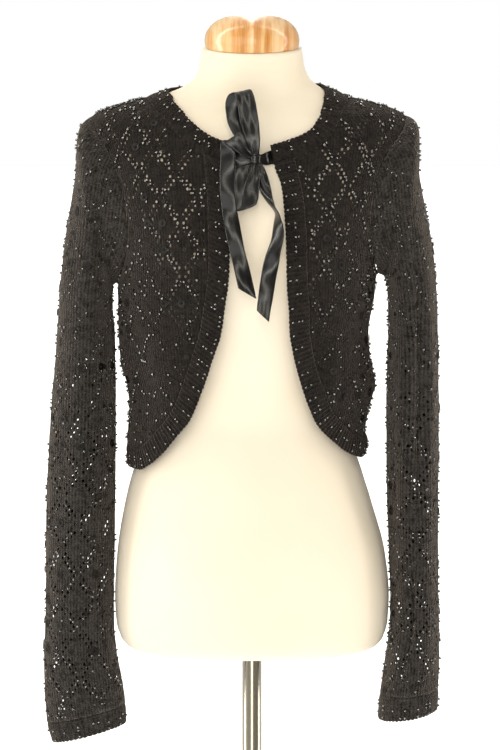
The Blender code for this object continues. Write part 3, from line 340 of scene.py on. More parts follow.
# Varnished wood: honey and cream stripes 4 to 9 mm wide that run up the cap, under a glossy coat
wood, tree, shader = new_finish(
    "varnished_striped_beech", "e3b877", Roughness=0.32, Coat_Weight=0.7, Coat_Roughness=0.12)
spot = add(tree, "TexCoord").outputs["Object"]
wander = noise(tree, 12.0, 1.0, spot).node.outputs["Color"]
bent = add(tree, "MixRGB", {0: 0.003, 1: spot, 2: wander}).outputs[0]
stripes, hairs = noise(tree, (120, 14, 7), 4.0, bent), noise(tree, (900, 90, 16), 2.0, bent)
tones = ramp(
    tree, calc(tree, "MULTIPLY_ADD", hairs, 0.25, stripes),
    (0.42, "b67838"), (0.52, "c88b48"), (0.6, "d5a062"), (0.68, "deb47d"), (0.8, "e4c294"))
dress(tree, shader, Base_Color=tones, Normal=bump(tree, hairs, 0.08, 0.3 * MM))
cap = piece("cap_of_wood", points, faces, wood, "wood")
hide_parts("neck_cap")

# The cardigan's body: three panels of knitted lace in a black wool blend, a back and two cut-away
# fronts. They lie on the form at the shoulders and bust and stand off it below in soft folds.
CLOTH_THICKNESS, BAND_WIDTH, RIB_RISE = 2.0 * MM, 22 * MM, 1.0 * MM
OUTER = {"right": -1, "left": 1}  # which way along X is out from the body
ARMPIT_HEIGHT = {"right": 1221 * MM, "left": 1231 * MM}
HEM_HEIGHT = {"right": 1015 * MM, "left": 1026 * MM}
SHOULDER_HEIGHT = 1401 * MM
ARMHOLE_REACH = {"front": 32 * DEG, "back": 30 * DEG}
# How far the cloth's inside stands off the form in mm: height, right, left, front, back
CLOTH_EASE = [
    (1005, 3, 3.5, 6, 5), (1024, 10, 7, 9, 10), (1038, 16, 14, 11, 14), (1050, 19, 17, 14, 17),
    (1066, 21, 21.5, 17, 19), (1089, 20, 25, 20, 21), (1111, 20, 28, 20, 20), (1133, 22, 20, 20, 18),
    (1149, 19, 13, 20, 15), (1178, 13, 5, 18, 9), (1213, 7, 3, 13, 4.5), (1240, 3, 2, 6, 2),
    (1270, 2, 1.8, 2.6, 2), (1300, 1.8, 1.8, 2, 1.8), (1345, 1.9, 1.9, 2, 1.9),
    (1375, 3, 4.2, 3, 5.6), (1393, 4.6, 6.4, 3.4, 7.6), (1412, 3.2, 3.4, 2.6, 4.4),
    (1428, 1.9, 1.9, 1.9, 2.1), (1480, 1.9, 1.9, 1.9, 1.9),
]
# Soft folds: angle round the form, lowest and highest point in mm, how far out, half width in degrees
BODY_FOLDS = [
    (-47, 1060, 1215, 4, 9), (-60, 1080, 1190, -3, 8), (-18, 1050, 1200, 3, 9), (232, 1040, 1220, 3.5, 10),
    (216, 1060, 1190, -3, 9), (196, 1090, 1225, 3, 9), (40, 1030, 1215, 3.5, 9), (66, 1040, 1180, -3, 8),
    (93, 1025, 1200, 3.5, 10), (122, 1035, 1190, -2.5, 9), (147, 1030, 1220, 3.5, 9),
    (-44, 1085, 1200, -2.5, 3.5),
]
# Front edges up from the hem and the neckline up to the shoulder, in mm: across, height
FRONT_EDGE = {
    "right": [(-123, 1015.5), (-112, 1022), (-98.5, 1034), (-81, 1055.5), (-66.5, 1078), (-56.5, 1103),
              (-49.5, 1122.5), (-43, 1144), (-33.5, 1172), (-28.5, 1205), (-25, 1229), (-24, 1260),
              (-25.5, 1312),
              (-28.2, 1350), (-32, 1374)],
    "left": [(114, 1029), (103, 1035.5), (91, 1045.5), (77, 1059.5), (67.5, 1076), (60, 1095.5), (52, 1120),
             (43.5, 1154.5), (39.5, 1185), (37.5, 1218), (36.3, 1259), (34.8, 1291), (31.5, 1325),
             (24.5, 1346),
             (19.3, 1369)],
}
NECKLINE = {
    "right": [(-32, 1374), (-46.5, 1380), (-61.5, 1391), (-75.5, 1407), (-84.5, 1421)],
    "left": [(19.3, 1369), (46.5, 1377.5), (63.5, 1386), (72.5, 1399.5), (76, 1416)],
}
NECK_AT_SHOULDER = {"right": 1431 * MM, "left": 1436 * MM}
NECK_AT_BACK = 1441 * MM


def unit_of(vectors):
    """The vectors divided by their lengths."""
    return vectors / np.linalg.norm(vectors, axis=-1, keepdims=True)


def slopes_of(surface, angle, height):
    """The surface's changes with the angle and with the height, from points a little to each side."""
    turn, rise = 2e-3, 0.4 * MM
    by_angle = (surface(angle + turn, height) - surface(angle - turn, height)) / (2 * turn)
    by_height = (surface(angle, height + rise) - surface(angle, height - rise)) / (2 * rise)
    return by_angle, by_height


def outward(surface, angle, height):
    """Unit vectors out of the surface: the cross product of its two slopes."""
    return unit_of(np.cross(*slopes_of(surface, angle, height)))


def hill(place, low, high):
    """sin squared from low to high, and nought outside."""
    return np.sin(math.pi * np.clip((place - low) / (high - low), 0, 1)) ** 2


def cloth_surface(angle, height):
    """The cloth's inside: the form moved straight out by the ease, and by a hill for each fold."""
    angle, height = np.broadcast_arrays(np.asarray(angle, float), np.asarray(height, float))
    right, left, front, back = columns_at(CLOTH_EASE, height)
    across, along = np.cos(angle), np.sin(angle)
    ease = np.where(across > 0, left, right) * across**2 + np.where(along < 0, front, back) * along**2
    for place, low, high, out, width in BODY_FOLDS:
        ease = ease + out * np.exp(-(((angle / DEG - place) / width) ** 2)) * hill(height / MM, low, high)
    return form_surface(angle, height) + outward(form_surface, angle, height) * ease[..., None] * MM


def side_angle(side, part, turn):
    """The angle that lies `turn` from the form's side towards its front or its back."""
    towards = -1 if part == "front" else 1
    return towards * turn if side == "left" else math.pi - towards * turn


def angle_at(across, height, side):
    """The angle on the cloth's front at which it reaches this far across."""
    angles = side_angle(side, "front", np.linspace(0, math.pi / 2, 181))
    reach = cloth_surface(angles, height)[:, 0]
    order = np.argsort(reach)
    return float(np.interp(across, reach[order], angles[order]))


def chart_of(table, side):
    """Rows of across and height in mm as rows of angle and height."""
    return [(angle_at(across * MM, height * MM, side), height * MM) for across, height in table]


def lengths_of(points):
    """The length along the points up to each of them."""
    return np.concatenate([[0], np.cumsum(np.linalg.norm(np.diff(points, axis=0), axis=1))])


def on_cloth(curve):
    """The points on the cloth's inside of a curve of angle and height."""
    return cloth_surface(curve[:, 0], curve[:, 1])


def smooth_curve(points, count):
    """Points evenly spaced along a smooth curve of angle and height through these."""
    points = np.array(points, float)
    knots = lengths_of(on_cloth(points))
    dense = through_rows(knots, points, np.linspace(0, knots[-1], 40 * len(points)))
    run = lengths_of(on_cloth(dense))
    even = np.linspace(0, run[-1], count)
    return np.stack([np.interp(even, run, column) for column in dense.T], axis=1)


def softened(curve, passes):
    """The curve with each inner point moved to the mean of itself and its neighbours, again and again."""
    curve = curve.copy()
    for _ in range(passes):
        curve[1:-1] = (curve[:-2] + 2 * curve[1:-1] + curve[2:]) / 4
    return curve


def inset(curve, width, turn):
    """The curve moved over the cloth by this width, square to itself, to the side that turn says."""
    steps = 6
    curve = curve.copy()
    for _ in range(steps):
        by_angle, by_height = slopes_of(cloth_surface, curve[:, 0], curve[:, 1])
        run = np.gradient(curve, axis=0)
        tangent = by_angle * run[:, :1] + by_height * run[:, 1:]
        aim = unit_of(turn * np.cross(tangent, np.cross(by_angle, by_height)))
        aa, ah, hh = (by_angle**2).sum(1), (by_angle * by_height).sum(1), (by_height**2).sum(1)
        to_a, to_h = (by_angle * aim).sum(1), (by_height * aim).sum(1)
        move = np.stack([to_a * hh - to_h * ah, to_h * aa - to_a * ah], axis=1) / (aa * hh - ah**2)[:, None]
        curve += move * width / steps
    return softened(curve, 160)


def crossing(first, second):
    """Where the first curve crosses the second, as a place along the first's points."""
    start, end = first[:-1, None], first[1:, None]
    other, other_end = second[None, :-1], second[None, 1:]
    run, across = end - start, other_end - other
    spread = run[..., 0] * across[..., 1] - run[..., 1] * across[..., 0]
    spread = np.where(np.abs(spread) < 1e-15, np.nan, spread)
    apart = other - start
    t = (apart[..., 0] * across[..., 1] - apart[..., 1] * across[..., 0]) / spread
    u = (apart[..., 0] * run[..., 1] - apart[..., 1] * run[..., 0]) / spread
    row, column = np.argwhere((t >= 0) & (t < 1) & (u >= 0) & (u <= 1))[0]
    return row + t[row, column]


def at_places(curve, places):
    """The curve's values at these places along its points."""
    return np.stack([np.interp(places, np.arange(len(curve)), column) for column in curve.T], axis=1)


def armhole_line(side, part, count):
    """Angle and height from the armpit to the shoulder: the reach is a sine of the run."""
    run = np.linspace(0, 1, count)
    high = ARMPIT_HEIGHT[side]
    heights = high + (SHOULDER_HEIGHT - high) * (1 - np.cos(math.pi * run)) / 2
    return np.stack([side_angle(side, part, ARMHOLE_REACH[part] * np.sin(math.pi * run)), heights], axis=1)


def ridge_line(side, low, high, count):
    """Angle and height along the shoulder seam."""
    return np.stack([np.full(count, side_angle(side, "front", 0)), np.linspace(low, high, count)], axis=1)


def front_curve(side):
    """The free edge of a front from the side seam along the hem, round its corner and up."""
    start = (side_angle(side, "front", 0), HEM_HEIGHT[side])
    low = (side_angle(side, "front", 14 * DEG), HEM_HEIGHT[side])
    return smooth_curve([start, low] + chart_of(FRONT_EDGE[side], side), 300)


def past_ends(curve, reach):
    """The curve with both ends carried straight on by this many of its own steps."""
    steps = np.arange(reach, 0, -1)[:, None]
    before = curve[0] - (curve[3] - curve[0]) / 3 * steps
    after = curve[-1] + (curve[-1] - curve[-4]) / 3 * steps[::-1]
    return np.concatenate([before, curve, after])


behind = [
    (0.0, NECK_AT_SHOULDER["left"]), (45 * DEG, (NECK_AT_BACK + NECK_AT_SHOULDER["left"]) / 2),
    (90 * DEG, NECK_AT_BACK), (135 * DEG, (NECK_AT_BACK + NECK_AT_SHOULDER["right"]) / 2),
    (180 * DEG, NECK_AT_SHOULDER["right"]),
]
neck_edge = chart_of(NECKLINE["left"], "left") + behind + chart_of(NECKLINE["right"], "right")[::-1]
neck_edge = softened(smooth_curve(neck_edge, 400), 40)
front_edge = {side: front_curve(side) for side in ("right", "left")}
hem_turn = np.linspace(0, math.pi, 200)
blend = (1 - np.cos(hem_turn)) / 2
hem_edge = np.stack([hem_turn, HEM_HEIGHT["left"] * (1 - blend) + HEM_HEIGHT["right"] * blend], axis=1)
# A panel's raw edge runs 1.2 mm in under the band that is picked up along it
UNDER = 1.2 * MM


def neck_seam(width):
    """The line this far in from the neck's free edge, carried past both fronts."""
    return inset(past_ends(neck_edge, 20), width, 1)


def front_seam(side, width):
    """The line this far in from a front's free edge."""
    return inset(front_edge[side], width, OUTER[side])


# The lace repeat, as charted here: eyelets on diamond rings |a| + |b| = 5 that leave out the top and
# bottom point, in stitches of 3.5 mm and pairs of rounds of 4.8 mm; the next ring starts one stitch
# and one pair on, so that two rows of eyelets run side by side, with plain knit inside each ring
STITCH, ROW = 3.5 * MM, 4.8 * MM
EYELET = (1.4 * MM, 1.85 * MM)
FINE = 0.25  # the step of the nets that turn stitches and rounds into places


def slants(a, b):
    """Counts along the chart's two slants, a + b and a - b, each from -6 to 6 across one diamond."""
    return (a + b + 6) % 12 - 6, (a - b + 6) % 12 - 6


def eyelet(a, b):
    """True at the stitches that are worked as eyelets."""
    slant, other = slants(a, b)
    return (np.maximum(np.abs(slant), np.abs(other)) == 5) & (slant != -other)


def relief(a, b):
    """How far the knit stands up in mm: a ridge between the two rows of eyelets, and puffed rings."""
    slant, other = slants(a, b)
    near = 6 - np.maximum(np.abs(slant), np.abs(other))
    return 0.45 * np.exp(-((near / 0.8) ** 2)) + 0.25 * (1 - np.exp(-((near / 3) ** 2)))


def sample(grid, row, column):
    """The grid's values between its points, in straight lines both ways."""
    row = np.clip(row, 0, grid.shape[0] - 1.001)
    column = np.clip(column, 0, grid.shape[1] - 1.001)
    low, left = row.astype(int), column.astype(int)
    up, over = row - low, column - left
    if grid.ndim == 3:
        up, over = up[..., None], over[..., None]
    return (
        (grid[low, left] * (1 - over) + grid[low, left + 1] * over) * (1 - up)
        + (grid[low + 1, left] * (1 - over) + grid[low + 1, left + 1] * over) * up
    )


def knitting(points, normals, columns, first_row):
    """Ways between stitches and a surface: rounds are even in length up every column of its points."""
    steps = np.linalg.norm(np.diff(points, axis=0), axis=-1)
    rise = np.concatenate([np.zeros((1, points.shape[1])), np.cumsum(steps, axis=0)]) / ROW
    rise = rise - rise[first_row]
    levels = np.arange(rise.min(), rise.max() + FINE, FINE)
    count = np.arange(points.shape[0])
    rows = np.stack([np.interp(levels, column, count) for column in rise.T], axis=1)
    numbers = np.arange(len(columns))

    def place(a, b):
        column = np.interp(a, columns, numbers)
        row = sample(rows, (b - levels[0]) / FINE, column)
        return sample(points, row, column), unit_of(sample(normals, row, column))

    def stitches(row, column):
        return np.stack([np.interp(column, numbers, columns), sample(rise, row, column)], axis=-1)

    return place, stitches


def within(a, b, outline):
    """True where a level line to the right crosses the outline an odd number of times."""
    x, y = a.ravel()[:, None], b.ravel()[:, None]
    start, end = outline, np.roll(outline, -1, axis=0)
    rise = end[:, 1] - start[:, 1]
    meets = start[:, 0] + (end[:, 0] - start[:, 0]) / np.where(rise == 0, 1, rise) * (y - start[:, 1])
    odd = (((start[:, 1] > y) != (end[:, 1] > y)) & (x < meets)).sum(axis=1) % 2
    return (odd == 1).reshape(a.shape)


def onto(a, b, outline):
    """The nearest points of the outline, measured in real lengths."""
    cell = np.array([STITCH, ROW])
    point = (np.stack([a, b], axis=-1) * cell)[:, None]
    start = outline * cell
    run = np.roll(start, -1, axis=0) - start
    share = np.clip(((point - start) * run).sum(-1) / np.maximum((run**2).sum(-1), 1e-14), 0, 1)
    spot = start + share[..., None] * run
    best = np.argmin(((spot - point) ** 2).sum(-1), axis=1)
    return (spot[np.arange(len(best)), best] / cell).T


def knitted(name, outline, columns, rows, place, replaced, lift, opening, finish, flip=False):
    """A panel of stitches within the outline: a quad for a plain one, eight faces round an eyelet."""
    a, b = np.meshgrid(np.arange(*columns), np.arange(*rows))
    corner_a, corner_b = np.meshgrid(
        np.arange(columns[0], columns[1] + 1) - 0.5, np.arange(rows[0], rows[1] + 1) - 0.5)
    kept = within(a, b, outline)
    around = np.zeros(corner_a.shape, int)
    for up in (slice(None, -1), slice(1, None)):
        for over in (slice(None, -1), slice(1, None)):
            around[up, over] += kept
    edge = (around > 0) & (around < 4)
    corner_a[edge], corner_b[edge] = onto(corner_a[edge], corner_b[edge], outline)
    # A vertex goes to each sharp corner of the outline, where it turns by more than 35 degrees
    steps = (np.roll(outline, -1, axis=0) - outline) * (STITCH, ROW)
    longer = np.linalg.norm(steps, axis=1) > 1e-6
    bends, steps = outline[longer], unit_of(steps[longer])
    straight = (steps * np.roll(steps, 1, axis=0)).sum(axis=1)
    for spot in bends[straight < math.cos(35 * DEG)]:
        apart = np.hypot((corner_a - spot[0]) * STITCH, (corner_b - spot[1]) * ROW) + np.where(edge, 0, 1)
        nearest = np.unravel_index(np.argmin(apart), apart.shape)
        corner_a[nearest], corner_b[nearest] = spot
    index = np.arange(corner_a.size).reshape(corner_a.shape)
    whole = ~(edge[:-1, :-1] | edge[:-1, 1:] | edge[1:, :-1] | edge[1:, 1:])
    holes = kept & whole & eyelet(a, b)
    turn = (np.arange(8) * 45 - 112.5) * DEG
    # Eyelets open where the cloth is stretched, and each a little more or less than the next
    rng = np.random.default_rng(len(name))
    x, y, z = place(a[holes].astype(float), b[holes].astype(float))[0].T / MM
    stretch = np.interp(z, *opening) * (1 - 0.3 * (y < 0) * np.exp(-((x / 62) ** 4)))
    wide = np.minimum(stretch * rng.uniform(0.4, 1.2, len(z)), 1.15)[:, None]
    hole_a = a[holes][:, None] + wide * EYELET[0] / STITCH * np.cos(turn)
    hole_b = b[holes][:, None] + wide * EYELET[1] / ROW * np.sin(turn)
    inner = corner_a.size + np.arange(hole_a.size).reshape(-1, 8)
    square = np.stack([index[:-1, :-1], index[:-1, 1:], index[1:, 1:], index[1:, :-1]], axis=-1)
    rim = square[holes]
    after = np.roll(rim, -1, axis=1)
    sides = [np.stack([rim[:, k], after[:, k], inner[:, 2 * k + 1], inner[:, 2 * k]], 1) for k in range(4)]
    points = [np.stack([after[:, k], inner[:, (2 * k + 2) % 8], inner[:, 2 * k + 1]], 1) for k in range(4)]
    faces = [square[kept & ~holes], np.concatenate(sides), np.concatenate(points)]
    all_a = np.concatenate([corner_a.ravel(), hole_a.ravel()])
    all_b = np.concatenate([corner_b.ravel(), hole_b.ravel()])
    flat = np.stack([all_a * STITCH, all_b * ROW], axis=1) / MM
    uv = [flat[group] for group in faces]
    used = np.unique(np.concatenate([group.ravel() for group in faces]))
    renumbered = np.zeros(len(all_a), int)
    renumbered[used] = np.arange(len(used))
    faces = [renumbered[group] for group in faces]
    if flip:
        faces, uv = [group[:, ::-1] for group in faces], [group[:, ::-1] for group in uv]
    spot, normal = place(all_a[used], all_b[used])
    height = (lift + relief(all_a[used], all_b[used])) * MM
    made = piece(name, spot + normal * height[:, None], faces, finish, "knit", uv)
    wall = made.modifiers.new("yarn", "SOLIDIFY")
    wall.thickness, wall.offset = 0.8 * MM, 0.0
    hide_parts(replaced)
    return made


def cut_of(outline):
    """The width, the length and the area of the flat cut in metres, from its outline in stitches."""
    x, y = (outline * (STITCH, ROW)).T
    area = abs(np.dot(x, np.roll(y, -1)) - np.dot(y, np.roll(x, -1))) / 2
    return (float(np.ptp(x)), float(np.ptp(y))), float(area)


# Black wool blend yarn, knitted and lightly brushed: matt and a warm near-black. Each stitch is a V 3.5 mm
# wide, |sin| across it times |sin| along its slanted legs, one 2.4 mm round over the next, under a fuzz
knit, tree, shader = new_finish(
    "knitted_black_wool", "1a1716", Roughness=0.9, Sheen_Weight=0.36, Sheen_Roughness=0.3,
    Sheen_Tint=linear("aca096"), Specular_IOR_Level=0.1)
u, v = cloth_place(tree)
wale = calc(tree, "ABSOLUTE", calc(tree, "SINE", calc(tree, "MULTIPLY", u, math.pi / 3.5)))
slant = calc(tree, "MULTIPLY_ADD", calc(tree, "PINGPONG", u, 1.75), 1.1, v)
loop = calc(tree, "ABSOLUTE", calc(tree, "SINE", calc(tree, "MULTIPLY", slant, math.pi / 2.4)))
legs, loops = rescaled(tree, wale, 0.0, 1.0, 0.35, 0.9), rescaled(tree, loop, 0.0, 1.0, 0.5, 1.0)
fuzz, patches = noise(tree, 520.0, 4.0), noise(tree, 150.0, 4.0)
height = calc(tree, "MULTIPLY_ADD", fuzz, 2.4, calc(tree, "MULTIPLY", legs, loops))
# The colour follows the stitch relief: darker down in the grooves and lighter on the raised legs, painted
# shade and highlight over the fuzz's own random tone
tones = ramp(
    tree, calc(tree, "MULTIPLY", height, 0.42), (0.3, "090808"), (0.58, "171412"), (0.95, "2f2a27"))
wash = ramp(tree, patches, (0.38, "100e0d"), (0.62, "2c2825"))
tint = add(tree, "MixRGB", {0: 0.35, 1: tones, 2: wash}).outputs[0]
dress(tree, shader, Base_Color=tint, Normal=bump(tree, height, 1.0, 0.8 * MM))
# The sleeves hang stretched with looser stitches; their copy of the knit is painted paler, with more sheen,
# as painted light for the light that comes in between the stitches
painted_light_knit = knit.copy()
painted_light_knit.name = "knitted_black_wool_painted_light"
painted_light_nodes = painted_light_knit.node_tree.nodes
for stops, code in ((tones, "484440"), (wash, "3f3b38")):
    painted_light_nodes[stops.node.name].color_ramp.elements[-1].color = linear(code)
painted_light_nodes["Principled BSDF"].inputs["Sheen Weight"].default_value = 0.6

# The middle of the knit lies this far above the solid's inside, in mm, close to the form; the lace is
# open over the bust and shoulders and nearly closed below: height in mm, share of the full eyelet
BODY_LIFT = -0.5
BODY_OPENING = ([1040, 1130, 1185, 1215, 1300, 1395, 1415], [0.5, 0.5, 0.65, 0.98, 0.92, 1.05, 0.65])

# The body's surface as a dense net of points, whose columns are an even share of its ring at the bust
BUST_LEVEL, NET_TURN, NET_RISE = 1245 * MM, 0.5 * DEG, 1.5 * MM
net_angles = np.arange(-100, 280.5, 0.5) * DEG
net_heights = np.arange(1003, 1462, 1.5) * MM
net_angle, net_height = np.meshgrid(net_angles, net_heights)
net = cloth_surface(net_angle, net_height)
net_normals = outward(cloth_surface, net_angle, net_height)
ring = lengths_of(cloth_surface(net_angles, BUST_LEVEL))
anchor = {
    "back": (90 * DEG, BUST_LEVEL), "left": (angle_at(94.5 * MM, BUST_LEVEL, "left"), BUST_LEVEL),
    "right": (angle_at(-115 * MM, 1315.5 * MM, "right"), 1315.5 * MM)}
lace = {}


def at_shoulder(seam, side):
    """Where a line round the neck crosses the shoulder seam."""
    return crossing(seam, ridge_line(side, SHOULDER_HEIGHT - 5 * MM, NECK_AT_SHOULDER[side], 60))


def panel_of(made, place, outline, low, high, lift):
    """What the beads and the cut need to know of a lace panel, with the pieces that are sewn to it."""
    return {"piece": made, "place": place, "outline": outline, "low": low, "high": high, "lift": lift,
            "with": []}


def body_outline(part):
    """The angle and height round one panel, on its seam lines and in under its bands."""
    if part == "back":
        low = inset(hem_edge, BAND_WIDTH - UNDER, -1)
        low[0, 0], low[-1, 0] = 0, math.pi
        seam = neck_seam(BAND_WIDTH - UNDER)
        over = at_places(seam, np.linspace(at_shoulder(seam, "left"), at_shoulder(seam, "right"), 120))
        up, down = armhole_line("right", "back", 60), armhole_line("left", "back", 60)[::-1]
        return np.concatenate([low, up, over[::-1], down])
    seam, edge = neck_seam(BAND_WIDTH - UNDER), front_seam(part, BAND_WIDTH - UNDER)
    edge[0, 0] = side_angle(part, "front", 0)
    up = at_places(edge, np.linspace(0, crossing(edge, seam), 200))
    over = at_places(seam, np.linspace(crossing(seam, edge), at_shoulder(seam, part), 80))
    return np.concatenate([up, over, armhole_line(part, "front", 60)[::-1]])


for part in ("back", "left", "right"):
    angle, height = anchor[part]
    columns = (ring - np.interp(angle, net_angles, ring)) / STITCH
    place, stitches = knitting(net, net_normals, columns, int(round((height - net_heights[0]) / NET_RISE)))
    curve = body_outline(part)
    outline = stitches((curve[:, 1] - net_heights[0]) / NET_RISE, (curve[:, 0] - net_angles[0]) / NET_TURN)
    low, high = np.floor(outline.min(axis=0)).astype(int) - 1, np.ceil(outline.max(axis=0)).astype(int) + 2
    name = "back" if part == "back" else f"front_{part}"
    made = knitted(
        f"lace_{name}", outline, (low[0], high[0]), (low[1], high[1]), place, name, BODY_LIFT, BODY_OPENING,
        knit)
    lace[name] = panel_of(made, place, outline, low, high, BODY_LIFT)

# The sleeves: long straight tubes of the same lace, knitted flat with one seam along the inside of
# the arm, set into the armholes. They hang empty, with long soft creases.
ARMHOLE_ROOM, SEAM_GAP = 0.8 * MM, 0.3 * MM
# Sections in mm: outer edge across and height, inner edge across and height, half depth, middle's depth
SLEEVE_SECTIONS = {
    "right": [
        (184, 1401, 156, 1219, 57, -3), (190, 1391, 157, 1213, 58, -3), (192, 1374, 157, 1206, 58, -3),
        (192.5, 1350, 156.5, 1196, 58, -3), (197, 1320, 155.5, 1182, 57, -3),
        (203.5, 1285, 153.7, 1165, 56, -3),
        (208.5, 1249, 152.7, 1143, 55, -4), (213, 1205, 152.2, 1115, 54, -4),
        (217.5, 1143, 152, 1070, 52, -5),
        (223, 1088, 152, 1030, 50, -6), (227, 1027, 152.5, 985, 48, -8), (230, 970, 153, 940, 45, -9),
        (231, 905, 154, 888, 42, -11), (231.5, 850, 154.5, 845, 40, -12), (234, 800, 151.5, 805, 35, -13),
        (233, 757, 145, 774, 29, -14), (231, 726.5, 142, 748, 25, -14),
    ],
    "left": [
        (177.5, 1403, 147.5, 1230, 57, -3), (183, 1394, 149, 1225, 58, -3), (183.5, 1375, 151, 1217, 58, -3),
        (182.5, 1350, 152, 1206, 58, -3), (187, 1320, 152.5, 1190, 57, -3), (194, 1290, 152.5, 1173, 57, -3),
        (200, 1252, 152, 1150, 57, -4), (204, 1212, 151, 1120, 57, -4), (206, 1160, 150, 1085, 57, -5),
        (207.5, 1095, 150, 1045, 57, -6), (208, 1025, 150.5, 990, 56, -8), (208, 960, 152, 942, 54, -9),
        (208.5, 900, 154, 890, 52, -11), (209.5, 850, 155, 845, 49, -12), (210.5, 808, 150, 806, 44, -13),
        (209.5, 766.5, 143.5, 760, 38, -14),
    ],
}
CUFF_BOTTOM = {"right": (224.5, 703.5, 141.5, 726, 24, -14), "left": (208.5, 742.5, 141.5, 730.5, 36, -14)}
# Creases: place round at the top and bottom in degrees from the inner edge by the front, top and
# bottom height in mm, how far in, half width in degrees
SLEEVE_CREASES = {
    "right": [(60, 40, 1230, 1080, 4, 16), (115, 130, 1150, 860, 3, 18), (250, 265, 1200, 900, 4, 18),
              (35, 62, 1010, 800, 2.5, 11), (80, 64, 905, 742, 2.5, 10), (150, 140, 1330, 1130, -2, 14)],
    "left": [(104, 90, 1310, 900, 9, 15), (88, 62, 930, 765, 8, 15), (255, 270, 1260, 820, 5, 18),
             (60, 74, 1180, 980, -2.5, 12), (128, 120, 1250, 960, -2.5, 12), (40, 30, 1120, 870, 2.5, 10),
             (106, 91, 1345, 880, 5, 5), (89, 63, 960, 752, 4.5, 5)],
}
ROUND = 288  # points round a sleeve
HALF_ROUND = 36  # stitches from its outer edge to its seam
SLEEVE_LIFT = 1.0
SLEEVE_OPENING = (
    [720, 800, 1000, 1100, 1200, 1290, 1340, 1385, 1400], [1.05, 1.3, 1.2, 0.8, 0.5, 0.5, 0.5, 0.5, 0.4])


def section_ring(section, side, turns):
    """Ovals: middle - cos(turn) half width - sin(turn) half depth, for a row or rows of the table."""
    outer_side = OUTER[side]
    out_x, out_z, in_x, in_z, half_depth, middle_y = np.moveaxis(np.asarray(section, float) * MM, -1, 0)
    zero = np.zeros_like(out_x)
    run = np.stack([outer_side * (out_x - in_x), zero, out_z - in_z], axis=-1) / 2
    middle = np.stack([outer_side * (out_x + in_x) / 2, middle_y, (out_z + in_z) / 2], axis=-1)
    run = run * (1 - CLOTH_THICKNESS / np.linalg.norm(run, axis=-1, keepdims=True))
    depth = np.stack([zero, half_depth - CLOTH_THICKNESS, zero], axis=-1)
    across, along = np.cos(turns)[:, None], np.sin(turns)[:, None]
    return middle[..., None, :] - across * run[..., None, :] - along * depth[..., None, :]


def tube_normals(rings, outer_side):
    """Unit vectors out of a closed tube's points: across its rings and along them."""
    around = np.roll(rings, -1, axis=1) - np.roll(rings, 1, axis=1)
    return unit_of(outer_side * np.cross(np.gradient(rings, axis=0), around))


def level_rounds(points, normals, outer_side):
    """Ways between stitches and a sleeve: rounds are level lines that tilt over the shoulder, and each is
    cut into even stitches from the outer edge, 36 to either side up to the armpit and as wide above it."""
    rows, count = points.shape[:2]
    middle, top = count // 2, points[..., 2] / MM
    tilt = 0.3 * np.sin(math.pi / 2 * np.clip((top - 1150) / 200, 0, 1)) ** 2
    level = np.maximum.accumulate(points[..., 2] + tilt * (170 * MM - outer_side * points[..., 0]), axis=0)
    level = level + np.arange(rows)[:, None] * 1e-9
    run = lengths_of(points[:, middle]) / ROW
    rounds = np.arange(-4, run[-1] + 1, FINE)
    past = np.minimum(rounds, 0) + np.maximum(rounds - run[-1], 0)
    marks = np.interp(rounds, run, level[:, middle]) + past * ROW
    row_at = np.stack([np.interp(marks, column, np.arange(rows)) for column in level.T], axis=1)
    columns = np.arange(float(count))
    lines = sample(points, row_at, np.broadcast_to(columns, row_at.shape))
    arc = np.cumsum(np.linalg.norm(np.diff(lines, axis=1, prepend=lines[:, :1]), axis=-1), axis=1)
    arc -= arc[:, middle:middle + 1]
    armpit = np.minimum(np.arange(len(rounds)), np.searchsorted(marks, level[-1, 0]) - 1)
    wide = np.where(arc < 0, -arc[armpit, 0][:, None], arc[armpit, -1][:, None]) / HALF_ROUND
    number = HALF_ROUND + arc / wide + columns * 1e-9
    places = np.arange(-1, 2 * HALF_ROUND + 1 + FINE, FINE)
    column_at = np.stack([np.interp(places, line, columns) for line in number])

    def place(a, b):
        mark = (b - rounds[0]) / FINE
        column = sample(column_at, mark, (a - places[0]) / FINE)
        row = sample(row_at, mark, column)
        return sample(points, row, column), unit_of(sample(normals, row, column))

    def stitches(edge):
        mark = np.interp(level[edge], marks, np.arange(len(marks)))
        return np.stack([sample(number, mark, columns), rounds[0] + mark * FINE], axis=-1)

    return place, stitches


